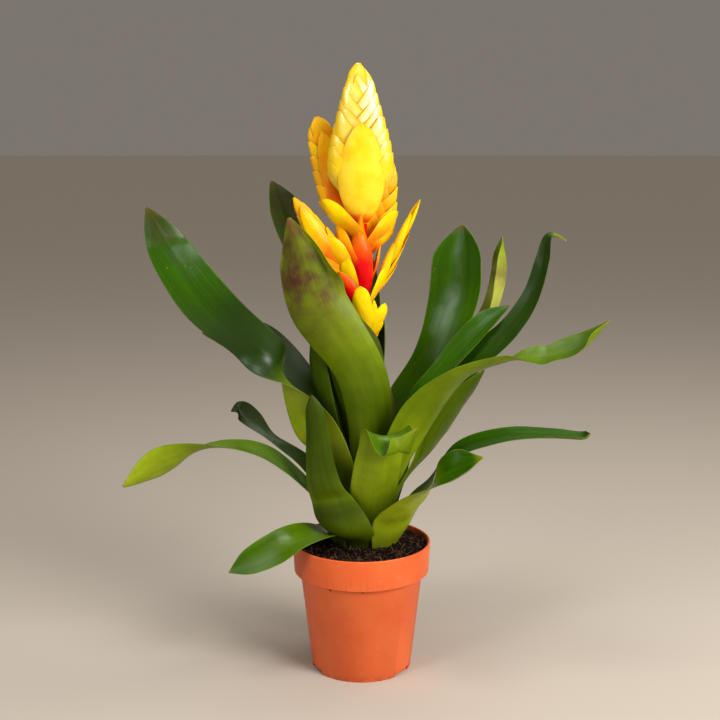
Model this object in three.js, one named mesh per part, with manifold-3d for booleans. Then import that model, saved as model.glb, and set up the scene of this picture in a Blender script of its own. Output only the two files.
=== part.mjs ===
// Potted bromeliad: a branched yellow flower spike over a rosette of strap leaves, in a plastic pot.
// Millimetres, +Z up, X to the right, Y away from the front.
// Origin: the centre of the pot's foot, on the surface that it stands on.
import * as THREE from 'three';
import { mergeVertices } from 'three/addons/utils/BufferGeometryUtils.js';
import Module from 'manifold-3d';

// Pot
const RIM_RADIUS = 60;
const RIM_TOP = 113.6;
const BAND_BOTTOM = 87.2;
const BAND_TAPER = 1.3;
const STEP_RADIUS = 53.5;
const FOOT_RADIUS = 43.4;
const POT_WALL = 1.6;
const FOOT_PAD_RADIUS = 31;
const DRAIN_HEIGHT = 4.5;
const NOTCH_ANGLES = [85, 205, 325];
const NOTCH_WIDTH = 20;
const DRAIN_HOLES = 6;
const DRAIN_HOLE_RADIUS = 3.2;
const POT_SIDES = 48;

// Soil
const SOIL_EDGE = 108.2;
const SOIL_MOUND = 4.2;
const SOIL_LUMP = 0.8;
const SOIL_GAP = 0.35;
const SOIL_SIDES = 36;

// Rosette: it stands a little right of the pot's middle and behind it
const ROSETTE_X = 3;
const ROSETTE_Y = 8;
const LEAF_FOOT = 107;
const LEAF_WELL_RADIUS = 31.4;
const LEAF_WELL_FLOOR = 106.4;
const BLADE_THICKNESS = 0.9;
const BLADE_COLUMNS = 4;
const GUTTER_RADIUS = 36;
const SHEATH_REACH = 26;
const BLADE_REACH = 58;
const TIP_START = 0.76;
const FOLD_ANGLE = 14;
const ROW_LENGTH = 20;
const ROW_CROWDING = 1.25;
const BRACT_ROW_LENGTH = 13;

// Flower stem and spikes
const STEM_FOOT = 84;
const STEM_GAP = 0.5;
const STEM_RADIUS = 4.5;
const STEM_LINE = [[3, 8, STEM_FOOT], [3, 7, 170], [2, 4, 240], [0, 0, 320], [0, 0, 388]];
const BRACT_REACH = [8, 26];
const BRACT_GUTTER = 15;
const BRACT_TIP_START = 0.66;

// A spike bract's levels, each [height, keel, inner edge, depth] as parts of the bract's length,
// its reach and its half depth.
const BRACT_LEVELS = [[0, 0.12, -0.12, 0.2], [0.4, 0.86, -0.3, 0.66], [0.72, 1.03, -0.2, 0.95],
  [0.93, 1, 0.35, 0.75]];
const BRACT_SIDES = 5;

const POT_COLOR = 0xd9663a;
const SOIL_COLOR = 0x2a1a12;
const LEAF_COLOR = 0x2f5a1e;
const STEM_COLOR = 0xd8481c;
const SPIKE_COLOR = 0xf6cf12;

// Each leaf: its foot as [radius, azimuth, width] about the rosette's middle, then stations towards
// the tip as [x, y, z, width, roll]. Roll turns the blade about its own midline, in degrees, point
// is where along the leaf its tip begins to narrow, and facing is the azimuth its blade turns from.
const LEAVES = {
  leaf_left_large: {
    foot: [19.5, 225, 28], point: 0.84,
    stations: [[-14.7, -9.7, 162, 38, 0], [-33, -24, 211, 46, 0], [-57, -32, 257, 44, -25],
      [-85, -36, 288, 46, -75], [-128, -34, 325, 48, -85], [-156, -31, 361, 46, -80],
      [-174, -30, 403, 36, -60]],
  },
  leaf_left_behind: {
    foot: [16.8, 172, 24], point: 0.84,
    stations: [[-17.8, 10.9, 165, 36, 0], [-31, 10, 212, 38, -10], [-52, 13, 248, 38, -30],
      [-86, 20, 283, 38, -40], [-112, 22, 288, 36, -40], [-138, 22, 293, 26, -40]],
  },
  leaf_left_arching: {
    foot: [22, 190, 28], point: 0.84,
    stations: [[-28, 0, 134, 38, 0], [-52, -14, 170, 31, 0], [-83, -32, 201, 32, 0],
      [-123, -46, 207, 32, 15], [-160, -55, 195, 36, 55], [-194, -64, 179, 26, 60]],
  },
  leaf_left_small: {
    foot: [20, 143, 18],
    stations: [[-29, 19, 146, 32, 0], [-51, 24, 177, 26, 0], [-78, 24, 198, 14, -30],
      [-95, 22, 216, 20, -50], [-106, 20, 225, 20, -50], [-114, 18, 224, 12, -50]],
  },
  leaf_left_over_rim: {
    foot: [27.5, 208, 26],
    stations: [[-28, -12, 123, 34, 0], [-52, -33, 126, 32, -20], [-75, -40, 116, 30, -40],
      [-95, -46, 107, 24, -40], [-111, -50, 101, 14, -40]],
  },
  leaf_front_upright: {
    foot: [23.5, 250, 34],
    stations: [[-8, -19.5, 118, 42, 0], [-21, -31, 136, 50, 0], [-31, -38, 162, 38, 0],
      [-35, -43, 190, 30, 0], [-36, -46, 214, 24, 0], [-38, -48, 236, 18, 0],
      [-41, -47, 252, 12, 0]],
  },
  leaf_front_folded: {
    foot: [21, 285, 22],
    stations: [[10, -25, 148, 42, 0], [14, -42, 183, 44, 0], [18, -46, 206, 42, 0],
      [22, -60, 222, 38, 0], [31, -71, 215, 30, 10], [45, -66, 230, 14, 30]],
  },
  leaf_right_front_short: {
    foot: [26.2, 318, 32], facing: 308,
    stations: [[33, -27, 136, 50, 0], [48, -50, 165, 46, 10], [64, -63, 184, 44, 35],
      [82, -69, 195, 42, 45], [98, -73, 206, 26, 45]],
  },
  leaf_right_low: {
    foot: [24.3, 352, 26], point: 0.84,
    stations: [[41, 0, 140, 46, 0], [60, -8, 163, 38, 0], [82, -24, 197, 34, 10],
      [118, -38, 213, 32, 10], [154, -47, 217, 26, 5], [180, -54, 217, 22, 0],
      [186, -57, 222, 14, 0]],
  },
  leaf_right_long: {
    foot: [18.8, 320, 26], facing: 295, point: 0.9,
    stations: [[21, -10, 150, 35, 0], [29, -28, 190, 34, 0], [52, -38, 235, 40, 0],
      [82, -49, 267, 36, 10], [118, -54, 281, 26, 0], [152, -53, 283, 32, 35],
      [180, -51, 292, 38, 60], [200, -50, 314, 26, 50]],
  },
  leaf_right_under: {
    foot: [20.7, 350, 22], facing: 345,
    stations: [[33, 4, 156, 30, 0], [54.5, 1.5, 188, 30, -20], [68, -6, 214, 32, -35],
      [86, -12, 242, 28, -35], [103, -20, 268, 18, -35]],
  },
  leaf_right_upright: {
    foot: [17, 7, 22],
    stations: [[26.4, 9, 165, 25, 0], [61, 4, 231, 32, 10], [98, 5, 270, 34, 25],
      [126, 9, 296, 28, 30], [145, 13, 324, 22, 35], [155, 13, 356, 16, 30],
      [160, 12, 376, 12, 10], [173, 10, 373, 7, 0]],
  },
  leaf_right_narrow: {
    foot: [15.5, 52, 18], point: 0.88,
    stations: [[14.4, 25.4, 165, 21, 0], [45, 50, 225, 27, 0], [88, 56, 268, 34, -10],
      [115, 61, 300, 38, -40], [126, 61, 338, 40, -50], [125, 62, 373, 26, -45]],
  },
  leaf_right_inner: {
    foot: [12.9, 26, 18], facing: 45, point: 0.84,
    stations: [[19.4, 13, 165, 24, 0], [42, 5, 224, 28, 0], [71, 11, 262, 26, 0],
      [102, 20, 296, 26, 10], [128, 26, 316, 18, 10]],
  },
  leaf_right_broad: {
    foot: [11.5, 62, 16], point: 0.84,
    stations: [[9.1, 20.6, 165, 20, 0], [27, 35, 222, 24, 0], [62, 40, 266, 36, 0],
      [83, 49, 313, 48, 0], [88, 54, 350, 50, 0], [89, 57, 384, 40, 0]],
  },
  leaf_centre_front: {
    foot: [14, 272, 22], point: 0.84,
    stations: [[5.4, -8.8, 160, 32, 0], [8, -20, 217, 40, 0], [0, -29, 262, 46, 0],
      [-23, -35, 301, 52, 0], [-44, -40, 340, 54, 0], [-58, -48, 396, 40, 0]],
  },
  leaf_centre_inner: {
    foot: [9.8, 294, 11],
    stations: [[6.9, -2.8, 165, 15, 0], [14, -12, 240, 18, 0], [9, -18, 284, 19, 0],
      [-2, -21, 313, 14, 0]],
  },
  leaf_back_left: {
    foot: [14.6, 130, 18], point: 0.84,
    stations: [[-9.7, 22.1, 165, 24, 0], [-18, 31, 240, 32, -10], [-36, 44, 323, 36, -20],
      [-60, 57, 380, 36, -30], [-80, 66, 422, 26, -30]],
  },
  leaf_back_centre: {
    foot: [9.3, 101, 15],
    stations: [[1.4, 19.6, 165, 22, 0], [2, 27, 259, 34, 0], [-2, 36, 341, 34, 0],
      [-14, 42, 392, 20, 0]],
  },
  leaf_back_dark: {
    foot: [7.6, 36, 10],
    stations: [[10.1, 13.6, 165, 14, 0], [15, 13, 235, 20, 0], [19, 15, 280, 18, 0],
      [19, 16, 307, 12, 0]],
  },
  leaf_small_brown: {
    foot: [11.5, 322, 12],
    stations: [[14, 1, 165, 14, 0], [22, -2, 200, 18, 0], [27, -3, 226, 16, 0],
      [25, -4, 249, 10, 0]],
  },
  leaf_left_inner: {
    foot: [12.2, 190, 16], facing: 235,
    stations: [[-10.8, 5.4, 165, 18, 0], [-25, -5, 214, 24, 0], [-37, -10, 256, 26, 0],
      [-42, -12, 299, 18, 0]],
  },
  leaf_left_core: {
    foot: [8.2, 208, 10], facing: 240,
    stations: [[-5.2, 2.8, 165, 12, 0], [-12, -8, 220, 20, 0], [-24, -14, 260, 20, 0],
      [-31, -15, 290, 14, 0]],
  },
  leaf_back_low_right: {
    foot: [22.5, 55, 24],
    stations: [[24, 35, 150, 38, 0], [36, 62, 187, 36, 0], [46, 100, 210, 32, 0],
      [50, 145, 214, 18, 0]],
  },
  leaf_back_low_centre: {
    foot: [25, 100, 28],
    stations: [[-3, 42, 140, 40, 0], [-14, 76, 184, 38, 0], [-27, 122, 216, 34, 0],
      [-43, 160, 220, 18, 0]],
  },
  leaf_back_low_left: {
    foot: [18.4, 137, 24],
    stations: [[-16, 29, 154, 36, 0], [-28, 52, 199, 34, 0], [-44, 90, 230, 30, 0],
      [-58, 120, 240, 16, 0]],
  },
};

// Bracts that grow straight from the flower stem, given as leaves are.
const STEM_BRACTS = [
  { facing: 200, stations: [[-1, -2, 372, 14, 0], [-12, -9, 386, 24, 0], [-23, -13, 398, 22, 0],
    [-32, -14, 409, 14, 0]] },
  { facing: 340, stations: [[2, -1, 366, 12, 0], [13, -3, 376, 20, 0], [22, -4, 386, 18, 0],
    [29, -5, 398, 12, 0]] },
  { facing: 10, stations: [[2, 1, 326, 10, 0], [10, 4, 343, 18, 0], [15, 5, 356, 16, 0],
    [15, 6, 369, 10, 0]] },
  { facing: 215, stations: [[-1, -2, 332, 10, 0], [-11, -7, 352, 20, 0], [-18, -9, 370, 18, 0],
    [-20, -10, 388, 12, 0]] },
  { facing: 265, stations: [[0, -2, 343, 10, 0], [-3, -9, 358, 16, 0], [-4, -11, 373, 16, 0],
    [-3, -12, 388, 10, 0]] },
  { facing: 230, stations: [[0, -2, 300, 8, 0], [-9, -10, 320, 16, 0], [-15, -14, 336, 14, 0],
    [-19, -15, 351, 9, 0]] },
];

// Each spike: base and tip of its axis, its half width and half depth, the direction that its
// flat side faces (azimuth), and how many bracts overlap up its two ranks. An apron is the broad
// smooth bract in front of it.
const SPIKES = {
  spike_main: {
    base: [0, 0, 388.6], tip: [-2, 0, 519], halfWidth: 27, halfDepth: 10, facing: 270, bracts: 19,
    apron: { facing: 270, point: 0.86, stations: [[0, -1, 391, 12, 0], [2, -12, 405, 32, 0],
      [2, -17, 425, 42, 0], [1, -18, 447, 42, 0], [-1, -17, 469, 34, 0]] },
  },
  spike_back_left: {
    base: [-5, 10, 374], tip: [-39, 22, 476], halfWidth: 16, halfDepth: 6, facing: 285, bracts: 11,
  },
  spike_right_back: {
    base: [6, 9, 358], tip: [27, 20, 438], halfWidth: 15, halfDepth: 6, facing: 285, bracts: 9,
  },
  spike_left_low: {
    base: [-7, -5, 331], tip: [-55, -22, 411], halfWidth: 13, halfDepth: 6, facing: 290, bracts: 10,
  },
  spike_right_slender: {
    base: [8, 2, 321], tip: [49, 8, 408], halfWidth: 7, halfDepth: 6, facing: 310, bracts: 9,
  },
  spike_front_low: {
    base: [10.6, -7, 290], tip: [4, -15.8, 333], halfWidth: 10, halfDepth: 4, facing: 270, bracts: 5,
    apron: { facing: 270, point: 0.86, stations: [[10, -7, 291, 6, 0], [8, -14, 305, 16, 0],
      [4, -18, 320, 20, 0], [0, -19, 337, 16, 0]] },
  },
};

const wasm = await Module();
wasm.setup();

const radians = THREE.MathUtils.degToRad;
const plant = new THREE.Group();

// Shape helpers

function smooth(start, end, value) {
  return THREE.MathUtils.smoothstep(value, start, end);
}

// A smooth line through equally spaced rows of numbers, at 0 to 1 of its length.
function between(rows, place) {
  const last = rows.length - 1;
  const i = Math.min(Math.floor(place * last), last - 1);
  const f = place * last - i;
  return rows[0].map((_, n) => {
    const b = rows[i][n];
    const c = rows[i + 1][n];
    const a = i > 0 ? rows[i - 1][n] : 2 * b - c;
    const d = i + 2 <= last ? rows[i + 2][n] : 2 * c - b;
    return b + 0.5 * f * (c - a + f * (2 * a - 5 * b + 4 * c - d + f * (3 * (b - c) + d - a)));
  });
}

function meshGeometry(points, faces) {
  const geometry = new THREE.BufferGeometry();
  const values = points.flatMap((p) => [p.x, p.y, p.z]);
  geometry.setAttribute('position', new THREE.Float32BufferAttribute(values, 3));
  geometry.setIndex(faces);
  return geometry;
}

function toSolid(geometry) {
  const bare = geometry.clone();
  bare.deleteAttribute('normal');
  bare.deleteAttribute('uv');
  const merged = mergeVertices(bare, 1e-4);
  return new wasm.Manifold(new wasm.Mesh({
    numProp: 3,
    vertProperties: new Float32Array(merged.attributes.position.array),
    triVerts: new Uint32Array(merged.index.array),
  }));
}

function toGeometry(solid) {
  const mesh = solid.getMesh();
  const geometry = new THREE.BufferGeometry();
  geometry.setAttribute('position', new THREE.Float32BufferAttribute(mesh.vertProperties, 3));
  geometry.setIndex(Array.from(mesh.triVerts));
  return geometry;
}

function placed(geometry, x, y, z) {
  return toSolid(geometry.translate(x, y, z));
}

function uprightCylinder(radius, bottom, top, sides) {
  const geometry = new THREE.CylinderGeometry(radius, radius, top - bottom, sides);
  return geometry.rotateX(Math.PI / 2).translate(0, 0, (top + bottom) / 2);
}

function addPiece(name, geometry, color, roughness) {
  const shown = geometry.toNonIndexed();
  shown.computeVertexNormals();
  const material = new THREE.MeshStandardMaterial({ color, roughness, metalness: 0 });
  const mesh = new THREE.Mesh(shown, material);
  mesh.name = name;
  plant.add(mesh);
}

// Pot

function potProfile() {
  const bandLow = RIM_RADIUS - BAND_TAPER;
  return [[0, 0], [FOOT_PAD_RADIUS, 0], [FOOT_PAD_RADIUS + 2, DRAIN_HEIGHT],
    [FOOT_RADIUS - 3.9, DRAIN_HEIGHT], [FOOT_RADIUS - 3.1, 0], [FOOT_RADIUS, 0],
    [STEP_RADIUS, BAND_BOTTOM - 1.5], [bandLow, BAND_BOTTOM], [RIM_RADIUS, RIM_TOP - 0.8],
    [RIM_RADIUS - 0.6, RIM_TOP], [RIM_RADIUS - POT_WALL, RIM_TOP], [RIM_RADIUS - 2.6, RIM_TOP - 1],
    [bandLow - POT_WALL, BAND_BOTTOM + POT_WALL], [STEP_RADIUS - POT_WALL, BAND_BOTTOM - 0.5],
    [FOOT_RADIUS - 0.9, DRAIN_HEIGHT + 3.8], [FOOT_RADIUS - 2.6, DRAIN_HEIGHT + POT_WALL],
    [FOOT_PAD_RADIUS + 2.4, DRAIN_HEIGHT + POT_WALL], [FOOT_PAD_RADIUS + 0.6, POT_WALL],
    [0, POT_WALL]];
}

function latheAboutZ(profile, sides) {
  const points = profile.map(([r, z]) => new THREE.Vector2(r, z));
  return new THREE.LatheGeometry(points, sides).rotateX(Math.PI / 2);
}

function makePot() {
  const profile = potProfile();
  let pot = toSolid(latheAboutZ(profile, POT_SIDES));
  for (const angle of NOTCH_ANGLES) {
    const notch = new THREE.BoxGeometry(6, NOTCH_WIDTH, 2 * DRAIN_HEIGHT - 0.6);
    notch.translate(FOOT_RADIUS, 0, 0).rotateZ(radians(angle));
    pot = pot.subtract(toSolid(notch));
  }
  for (let i = 0; i < DRAIN_HOLES; i += 1) {
    const angle = (2 * Math.PI * (i + 0.5)) / DRAIN_HOLES;
    const hole = uprightCylinder(DRAIN_HOLE_RADIUS, DRAIN_HEIGHT - 1, DRAIN_HEIGHT + 2, 10);
    const ring = FOOT_PAD_RADIUS + 5.6;
    pot = pot.subtract(placed(hole, ring * Math.cos(angle), ring * Math.sin(angle), 0));
  }
  addPiece('pot', toGeometry(pot), POT_COLOR, 0.45);
}

// Soil

function soilHeight(x, y) {
  const fromPlant = Math.hypot(x - ROSETTE_X, y - ROSETTE_Y);
  const mound = SOIL_MOUND * (1 - smooth(14, 48, fromPlant));
  const lumps = Math.sin(x * 0.31 + 1.3) * Math.cos(y * 0.27) + Math.sin(x * 0.11 - y * 0.23);
  return SOIL_EDGE + mound + 0.5 * SOIL_LUMP * lumps;
}

function makeSoil() {
  const g = SOIL_GAP;
  const bandInner = RIM_RADIUS - BAND_TAPER - POT_WALL;
  const side = [[0, POT_WALL + g], [FOOT_PAD_RADIUS + 0.4, POT_WALL + g],
    [FOOT_PAD_RADIUS + 2.2, DRAIN_HEIGHT + POT_WALL + g],
    [FOOT_RADIUS - 2.9, DRAIN_HEIGHT + POT_WALL + g], [FOOT_RADIUS - 1.6, DRAIN_HEIGHT + 4.2],
    [STEP_RADIUS - POT_WALL - 0.6, BAND_BOTTOM - 0.2], [bandInner - 0.6, BAND_BOTTOM + 2.3],
    [bandInner - 0.3, SOIL_EDGE]];
  const top = [50, 42, 34, 26, 16, 8, 0].map((r) => [r, SOIL_EDGE]);
  const geometry = latheAboutZ([...side, ...top], SOIL_SIDES);
  const position = geometry.attributes.position;
  for (let i = 0; i < position.count; i += 1) {
    if (Math.abs(position.getZ(i) - SOIL_EDGE) < 0.01) {
      position.setZ(i, soilHeight(position.getX(i), position.getY(i)));
    }
  }
  const well = uprightCylinder(LEAF_WELL_RADIUS, LEAF_WELL_FLOOR, SOIL_EDGE + 12, 28);
  const stemHole = uprightCylinder(STEM_RADIUS + 1, STEM_FOOT - 0.5, SOIL_EDGE, 12);
  const soil = toSolid(geometry)
    .subtract(placed(well, ROSETTE_X, ROSETTE_Y, 0))
    .subtract(placed(stemHole, ROSETTE_X, ROSETTE_Y, 0));
  addPiece('soil', toGeometry(soil), SOIL_COLOR, 0.95);
}

// Leaves

// The blade's state at a place along it: where its midline is, its width, how far it stands from
// the axis, how much of it is sheath, and its directions across and towards its upper face.
// A sheath lies level round the axis, and a free blade lies square to its own midline.
function bladeState(blade, place) {
  const step = 0.004;
  const [x, y, z, width, roll] = between(blade.stations, place);
  const ahead = between(blade.stations, Math.min(place + step, 1));
  const behind = between(blade.stations, Math.max(place - step, 0));
  const along = new THREE.Vector3(...ahead.slice(0, 3));
  along.sub(new THREE.Vector3(...behind.slice(0, 3))).normalize();
  const outward = new THREE.Vector3(x - blade.axis[0], y - blade.axis[1], 0);
  const reach = Math.max(outward.length(), 4);
  outward.normalize();
  const sheath = 1 - smooth(blade.reach[0], blade.reach[1], reach);
  const turn = radians(blade.facing);
  const across = new THREE.Vector3(-Math.sin(turn), Math.cos(turn), 0);
  across.addScaledVector(along, -across.dot(along)).normalize();
  across.applyAxisAngle(along, radians(roll));
  const upper = new THREE.Vector3().crossVectors(along, across);
  across.lerp(new THREE.Vector3(-outward.y, outward.x, 0), sheath).normalize();
  upper.lerp(outward.negate(), sheath).normalize();
  return { middle: new THREE.Vector3(x, y, z), width, reach, sheath, across, upper };
}

// A point of the blade's middle sheet. Near the foot the blade wraps the axis, farther out it is
// a shallow gutter, and towards the tip it folds along its midline and narrows to a point.
function bladePoint(blade, place, side) {
  const { middle, width, reach, sheath, across, upper } = bladeState(blade, place);
  const bend = sheath / reach + (1 - sheath) / blade.gutter;
  const fold = radians(blade.fold) * smooth(0.45, 1, place);
  const tip = Math.max((place - blade.point) / (1 - blade.point), 0);
  const half = (Math.abs(side) * width * (1 - 0.94 * Math.pow(tip, 2.2))) / 2;
  const turned = fold + bend * half;
  const out = (Math.sin(turned) - Math.sin(fold)) / bend;
  const rise = (Math.cos(fold) - Math.cos(turned)) / bend;
  return middle.addScaledVector(across, Math.sign(side) * out).addScaledVector(upper, rise);
}

function bladeNormal(blade, place, side) {
  const step = 0.01;
  const alongA = bladePoint(blade, Math.max(place - step, 0), side);
  const alongB = bladePoint(blade, Math.min(place + step, 1), side);
  const acrossA = bladePoint(blade, place, side - 0.05);
  const acrossB = bladePoint(blade, place, side + 0.05);
  return alongB.sub(alongA).cross(acrossB.sub(acrossA)).normalize();
}

// Two sheets of points, one on each side of the middle one, closed round their edge.
// Its rows crowd a little towards the tip.
function bladeGeometry(blade, rows, columns, thickness) {
  const points = [];
  for (const offset of [thickness / 2, -thickness / 2]) {
    for (let r = 0; r <= rows; r += 1) {
      const place = 1 - Math.pow(1 - r / rows, ROW_CROWDING);
      for (let c = 0; c <= columns; c += 1) {
        const side = (2 * c) / columns - 1;
        const normal = bladeNormal(blade, place, side);
        points.push(bladePoint(blade, place, side).addScaledVector(normal, offset));
      }
    }
  }
  const sheet = (rows + 1) * (columns + 1);
  const at = (r, c) => r * (columns + 1) + c;
  const faces = [];
  const quad = (a, b, c, d) => faces.push(a, b, c, a, c, d);
  for (let r = 0; r < rows; r += 1) {
    for (let c = 0; c < columns; c += 1) {
      const [p, q, s, t] = [at(r, c), at(r + 1, c), at(r + 1, c + 1), at(r, c + 1)];
      if (c < columns / 2) {
        faces.push(p, q, s, p, s, t, sheet + p, sheet + s, sheet + q, sheet + p, sheet + t, sheet + s);
      } else {
        faces.push(p, q, t, q, s, t, sheet + p, sheet + t, sheet + q, sheet + q, sheet + t, sheet + s);
      }
    }
    quad(at(r + 1, 0), at(r, 0), sheet + at(r, 0), sheet + at(r + 1, 0));
    quad(at(r, columns), at(r + 1, columns), sheet + at(r + 1, columns), sheet + at(r, columns));
  }
  for (let c = 0; c < columns; c += 1) {
    quad(at(0, c), at(0, c + 1), sheet + at(0, c + 1), sheet + at(0, c));
    quad(at(rows, c + 1), at(rows, c), sheet + at(rows, c), sheet + at(rows, c + 1));
  }
  return meshGeometry(points, faces);
}

function leafFromTable(entry) {
  const [radius, azimuth, width] = entry.foot;
  const turn = radians(azimuth);
  const footX = ROSETTE_X + radius * Math.cos(turn);
  const footY = ROSETTE_Y + radius * Math.sin(turn);
  return {
    stations: [[footX, footY, LEAF_FOOT, width, 0], ...entry.stations],
    axis: [ROSETTE_X, ROSETTE_Y],
    reach: [SHEATH_REACH, BLADE_REACH],
    facing: entry.facing ?? azimuth,
    point: entry.point ?? TIP_START,
    gutter: GUTTER_RADIUS,
    fold: FOLD_ANGLE,
  };
}

function bractFromTable(entry, gap) {
  return {
    stations: entry.stations.map(([x, y, z, width, roll]) => [x, y, z, width + 2 * gap, roll]),
    facing: entry.facing,
    axis: [0, 0],
    reach: BRACT_REACH,
    point: entry.point ?? BRACT_TIP_START,
    gutter: BRACT_GUTTER,
    fold: FOLD_ANGLE,
  };
}

function lineLength(stations) {
  let total = 0;
  for (let i = 1; i < stations.length; i += 1) {
    const [a, b] = [stations[i - 1], stations[i]];
    total += Math.hypot(b[0] - a[0], b[1] - a[1], b[2] - a[2]);
  }
  return total;
}

function bladeRows(blade, rowLength) {
  return Math.round(lineLength(blade.stations) / rowLength);
}

function makeLeaves() {
  for (const [name, entry] of Object.entries(LEAVES)) {
    const leaf = leafFromTable(entry);
    const rows = bladeRows(leaf, ROW_LENGTH);
    addPiece(name, bladeGeometry(leaf, rows, BLADE_COLUMNS, BLADE_THICKNESS), LEAF_COLOR, 0.35);
  }
}

// Flower stem and spikes

// One bract, or the slightly fatter room that it needs.
function bractSolid(entry, gap) {
  const bract = bractFromTable(entry, gap);
  const rows = bladeRows(bract, BRACT_ROW_LENGTH);
  return toSolid(bladeGeometry(bract, rows, BLADE_COLUMNS, BLADE_THICKNESS + 2 * gap));
}

// The stem with its bracts, or the slightly fatter room that they need among the spikes.
function stemSolid(gap) {
  const line = new THREE.CatmullRomCurve3(STEM_LINE.map((p) => new THREE.Vector3(...p)));
  const section = new THREE.Shape();
  section.absarc(0, 0, STEM_RADIUS + gap, 0, 2 * Math.PI);
  const settings = { steps: 9, curveSegments: 5, extrudePath: line, bevelEnabled: false };
  const tube = toSolid(new THREE.ExtrudeGeometry(section, settings));
  const bracts = STEM_BRACTS.map((entry) => bractSolid(entry, gap));
  return wasm.Manifold.union([tube, ...bracts]);
}

// How wide a spike is at a height of 0 to 1: slim at the foot, widest below the middle, blunt.
function spikeProfile(height) {
  const rise = smooth(-0.06, 0.34, height);
  const narrowing = 1 - 0.62 * smooth(0.3, 1.05, height);
  return rise * narrowing * (1 - 0.75 * Math.pow(height, 12));
}

// One boat-shaped bract, seen flat on. It starts thin inside the bract below, widens, and ends in
// a thicker lip whose point is at its outer side.
function spikeBractGeometry(length, reach, halfDepth) {
  const points = [];
  for (const [height, keel, inner, depth] of BRACT_LEVELS) {
    const [out, back, z] = [keel * reach, inner * reach, height * length];
    const middle = 0.6 * out + 0.4 * back;
    const lip = depth * halfDepth;
    points.push(
      new THREE.Vector3(out, 0, z),
      new THREE.Vector3(middle, lip, z),
      new THREE.Vector3(back, 0.7 * lip, z),
      new THREE.Vector3(back, -0.7 * lip, z),
      new THREE.Vector3(middle, -lip, z),
    );
  }
  points.push(new THREE.Vector3(0.9 * reach, 0, length));
  const faces = [];
  const last = (BRACT_LEVELS.length - 1) * BRACT_SIDES;
  for (let i = 0; i < BRACT_SIDES; i += 1) {
    const next = (i + 1) % BRACT_SIDES;
    for (let row = 0; row < last; row += BRACT_SIDES) {
      const above = row + BRACT_SIDES;
      faces.push(row + i, row + next, above + next, row + i, above + next, above + i);
    }
    faces.push(last + i, last + next, last + BRACT_SIDES);
  }
  for (let i = 1; i + 1 < BRACT_SIDES; i += 1) {
    faces.push(0, i + 1, i);
  }
  return meshGeometry(points, faces);
}

function spikeFrame({ base, facing }, axis) {
  const turn = radians(facing);
  const back = new THREE.Vector3(-Math.cos(turn), -Math.sin(turn), 0);
  back.addScaledVector(axis, -back.dot(axis)).normalize();
  const across = new THREE.Vector3().crossVectors(back, axis);
  return new THREE.Matrix4().makeBasis(across, back, axis).setPosition(...base);
}

// The bracts' tips are evenly spaced from low on the spike to its top, left and right in turn.
function spikeSolid(spike) {
  const axis = new THREE.Vector3(...spike.tip).sub(new THREE.Vector3(...spike.base));
  const length = axis.length();
  const core = new THREE.CylinderGeometry(1.2, 2.4, 0.9 * length, 6).rotateX(Math.PI / 2);
  const pieces = [toSolid(core.translate(0, 0, 0.45 * length))];
  for (let i = 0; i < spike.bracts; i += 1) {
    const tipHeight = 0.26 + (0.74 * (i + 1)) / spike.bracts;
    const size = 0.32 - 0.12 * tipHeight;
    const width = spikeProfile(tipHeight - 0.2 * size);
    const reach = width * spike.halfWidth;
    const depth = (0.4 + 0.6 * width) * spike.halfDepth;
    const bract = spikeBractGeometry(size * length, reach, depth);
    bract.rotateZ(i % 2 === 0 ? 0 : Math.PI).translate(0, 0, (tipHeight - size) * length);
    pieces.push(toSolid(bract));
  }
  const ranks = wasm.Manifold.union(pieces).transform(spikeFrame(spike, axis.normalize()).toArray());
  return spike.apron ? ranks.add(bractSolid(spike.apron, 0)) : ranks;
}

function largestPiece(solid) {
  return solid.decompose().reduce((a, b) => (a.volume() > b.volume() ? a : b));
}

function makeStemAndSpikes() {
  addPiece('flower_stem', toGeometry(stemSolid(0)), STEM_COLOR, 0.4);
  const stemRoom = stemSolid(STEM_GAP);
  for (const [name, spike] of Object.entries(SPIKES)) {
    const clear = largestPiece(spikeSolid(spike).subtract(stemRoom));
    addPiece(name, toGeometry(clear), SPIKE_COLOR, 0.3);
  }
}

makePot();
makeSoil();
makeLeaves();
makeStemAndSpikes();

export default plant;
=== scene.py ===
import math
import random

import bmesh
import bpy
from mathutils import Matrix, Vector, noise


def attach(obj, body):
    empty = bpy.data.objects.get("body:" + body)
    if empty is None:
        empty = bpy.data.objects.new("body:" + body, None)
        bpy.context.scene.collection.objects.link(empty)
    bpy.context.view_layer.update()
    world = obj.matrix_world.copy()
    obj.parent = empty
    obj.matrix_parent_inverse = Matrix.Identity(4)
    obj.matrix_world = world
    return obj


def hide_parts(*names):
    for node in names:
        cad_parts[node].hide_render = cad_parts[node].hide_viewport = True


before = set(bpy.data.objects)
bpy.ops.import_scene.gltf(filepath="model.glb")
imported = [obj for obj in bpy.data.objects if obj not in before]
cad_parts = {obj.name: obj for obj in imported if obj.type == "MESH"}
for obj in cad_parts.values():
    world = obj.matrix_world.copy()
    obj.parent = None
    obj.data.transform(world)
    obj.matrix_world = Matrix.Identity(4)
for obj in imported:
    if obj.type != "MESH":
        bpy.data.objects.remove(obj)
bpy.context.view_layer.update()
mm = 0.001


def smooth(start, end, value):
    x = min(max((value - start) / (end - start), 0), 1)
    return x * x * (3 - 2 * x)


def mix(a, b, f):
    return a + (b - a) * f


# a smooth line through equally spaced rows of numbers, at 0 to 1 of its length
def between(rows, place):
    last = len(rows) - 1
    i = min(int(place * last), last - 1)
    f = place * last - i
    numbers = []
    for n in range(len(rows[0])):
        b, c = rows[i][n], rows[i + 1][n]
        a = rows[i - 1][n] if i > 0 else 2 * b - c
        d = rows[i + 2][n] if i + 2 <= last else 2 * c - b
        bend = 2 * a - 5 * b + 4 * c - d + f * (3 * (b - c) + d - a)
        numbers.append(b + 0.5 * f * (c - a + f * bend))
    return numbers


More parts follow.
